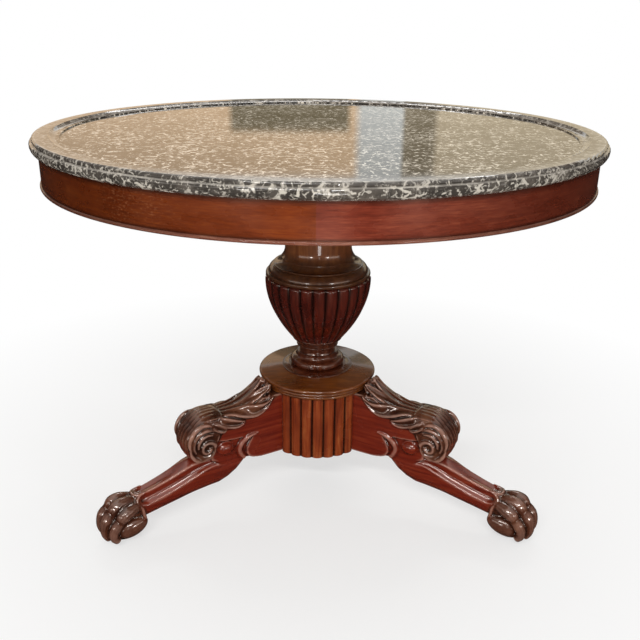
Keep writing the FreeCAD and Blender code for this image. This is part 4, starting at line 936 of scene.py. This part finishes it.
# The room around, which only the polish mirrors: a dim floor and walls, and a paler ceiling.
deselect_all()
bpy.ops.mesh.primitive_uv_sphere_add(segments=48, ring_count=24, radius=5.0)
room = bpy.context.object
room.name = "room"
bpy.ops.object.mode_set(mode="EDIT")
bpy.ops.mesh.select_all(action="SELECT")
bpy.ops.mesh.bisect(plane_co=(0.0, 0.0, 0.002), plane_no=(0.0, 0.0, 1.0), use_fill=True, clear_inner=True)
bpy.ops.object.mode_set(mode="OBJECT")
room_paint, tree = new_material("room_paint")
place = put(tree, "TexCoord").outputs["Object"]
split = put(tree, "SeparateXYZ", {"Vector": place}).outputs
overhead = ranged(tree, split["Z"], 0.0, 5.0)
tone = ramp(tree, overhead, (0.0, "#2E2622"), (0.3, "#46403C"), (0.6, "#8A8480"), (1.0, "#C4C0BC"))
strength = ranged(tree, overhead, 0.3, 0.75, 1.0, 3.0)
shader = put(tree, "Emission", {"Color": tone, "Strength": strength})
finish_material(tree, shader)
room_paint.cycles.emission_sampling = "NONE"
room.data.materials.append(room_paint)
mirrored_only(room)

# Windows of the room, which only the polish mirrors, for the lights on the carving and the rim.
pane, tree = new_material("window_light")
shader = put(tree, "Emission", {"Color": linear("#FFF8F0"), "Strength": 3.2})
finish_material(tree, shader)
for name, spot, width, height in (
        ("left_window", (-1.8, -1.9, 0.64), 2.4, 0.46), ("right_window", (1.9, -1.8, 0.64), 2.4, 0.46),
        ("front_window", (0.1, -2.5, 0.75), 0.22, 0.6)):
    deselect_all()
    bpy.ops.mesh.primitive_plane_add(size=1.0)
    window = bpy.context.object
    window.name = name
    facing_table = (Vector((0.0, 0.0, 0.3)) - Vector(spot)).to_track_quat("-Z", "Y").to_matrix().to_4x4()
    window.data.transform(
        Matrix.Translation(spot) @ facing_table @ Matrix.Diagonal((width, height, 1.0, 1.0)))
    window.data.materials.append(pane)
    mirrored_only(window)

# Lamps: a long one high in front, a small one low at each side for the carving, one on the floor in
# front that faces up, and a wide one behind.
for name, spot, aim, width, height, power in (
        ("long_lamp", (-0.4, -2.6, 2.4), (0.0, 0.0, 0.4), 2.2, 0.14, 50.0),
        ("right_lamp", (1.3, -2.3, 0.58), (0.0, 0.0, 0.2), 0.3, 0.2, 9.0),
        ("left_lamp", (-1.1, -2.4, 0.58), (0.0, 0.0, 0.2), 0.3, 0.2, 7.0),
        ("low_lamp", (0.06, -2.0, 0.02), (0.06, -2.0, 1.0), 0.3, 0.9, 10.0),
        ("back_lamp", (0.2, 2.3, 2.7), (0.0, 0.0, 0.6), 3.4, 0.25, 28.0)):
    lamp = bpy.data.lights.new(name, "AREA")
    lamp.shape = "RECTANGLE"
    lamp.size = width
    lamp.size_y = height
    lamp.energy = power
    holder = bpy.data.objects.new(name, lamp)
    bpy.context.scene.collection.objects.link(holder)
    holder.location = spot
    away = [target - start for target, start in zip(aim, spot)]
    holder.rotation_euler = Vector(away).to_track_quat("-Z", "Y").to_euler()

# The camera, fitted to the ellipses of the top, the frieze and the drum.
FOCAL_PIXELS = 775.0
IMAGE_PIXELS = 640.0
SHIFT = 0.00375
AZIMUTH = -1.5
DISTANCE = 1.407
HEIGHT = 0.910
PITCH = 21.67
ROLL = 0.65
camera_data = bpy.data.cameras.new("camera")
camera_data.sensor_width = 36.0
camera_data.lens = FOCAL_PIXELS / IMAGE_PIXELS * camera_data.sensor_width
camera_data.shift_x = SHIFT
camera = bpy.data.objects.new("camera", camera_data)
bpy.context.scene.collection.objects.link(camera)
camera.matrix_world = (
    Matrix.Rotation(math.radians(AZIMUTH), 4, "Z")
    @ Matrix.Translation((0.0, -DISTANCE, HEIGHT))
    @ Matrix.Rotation(math.radians(90.0 - PITCH), 4, "X")
    @ Matrix.Rotation(math.radians(ROLL), 4, "Z"))
bpy.context.scene.camera = camera
bpy.context.scene.view_settings.view_transform = "Standard"
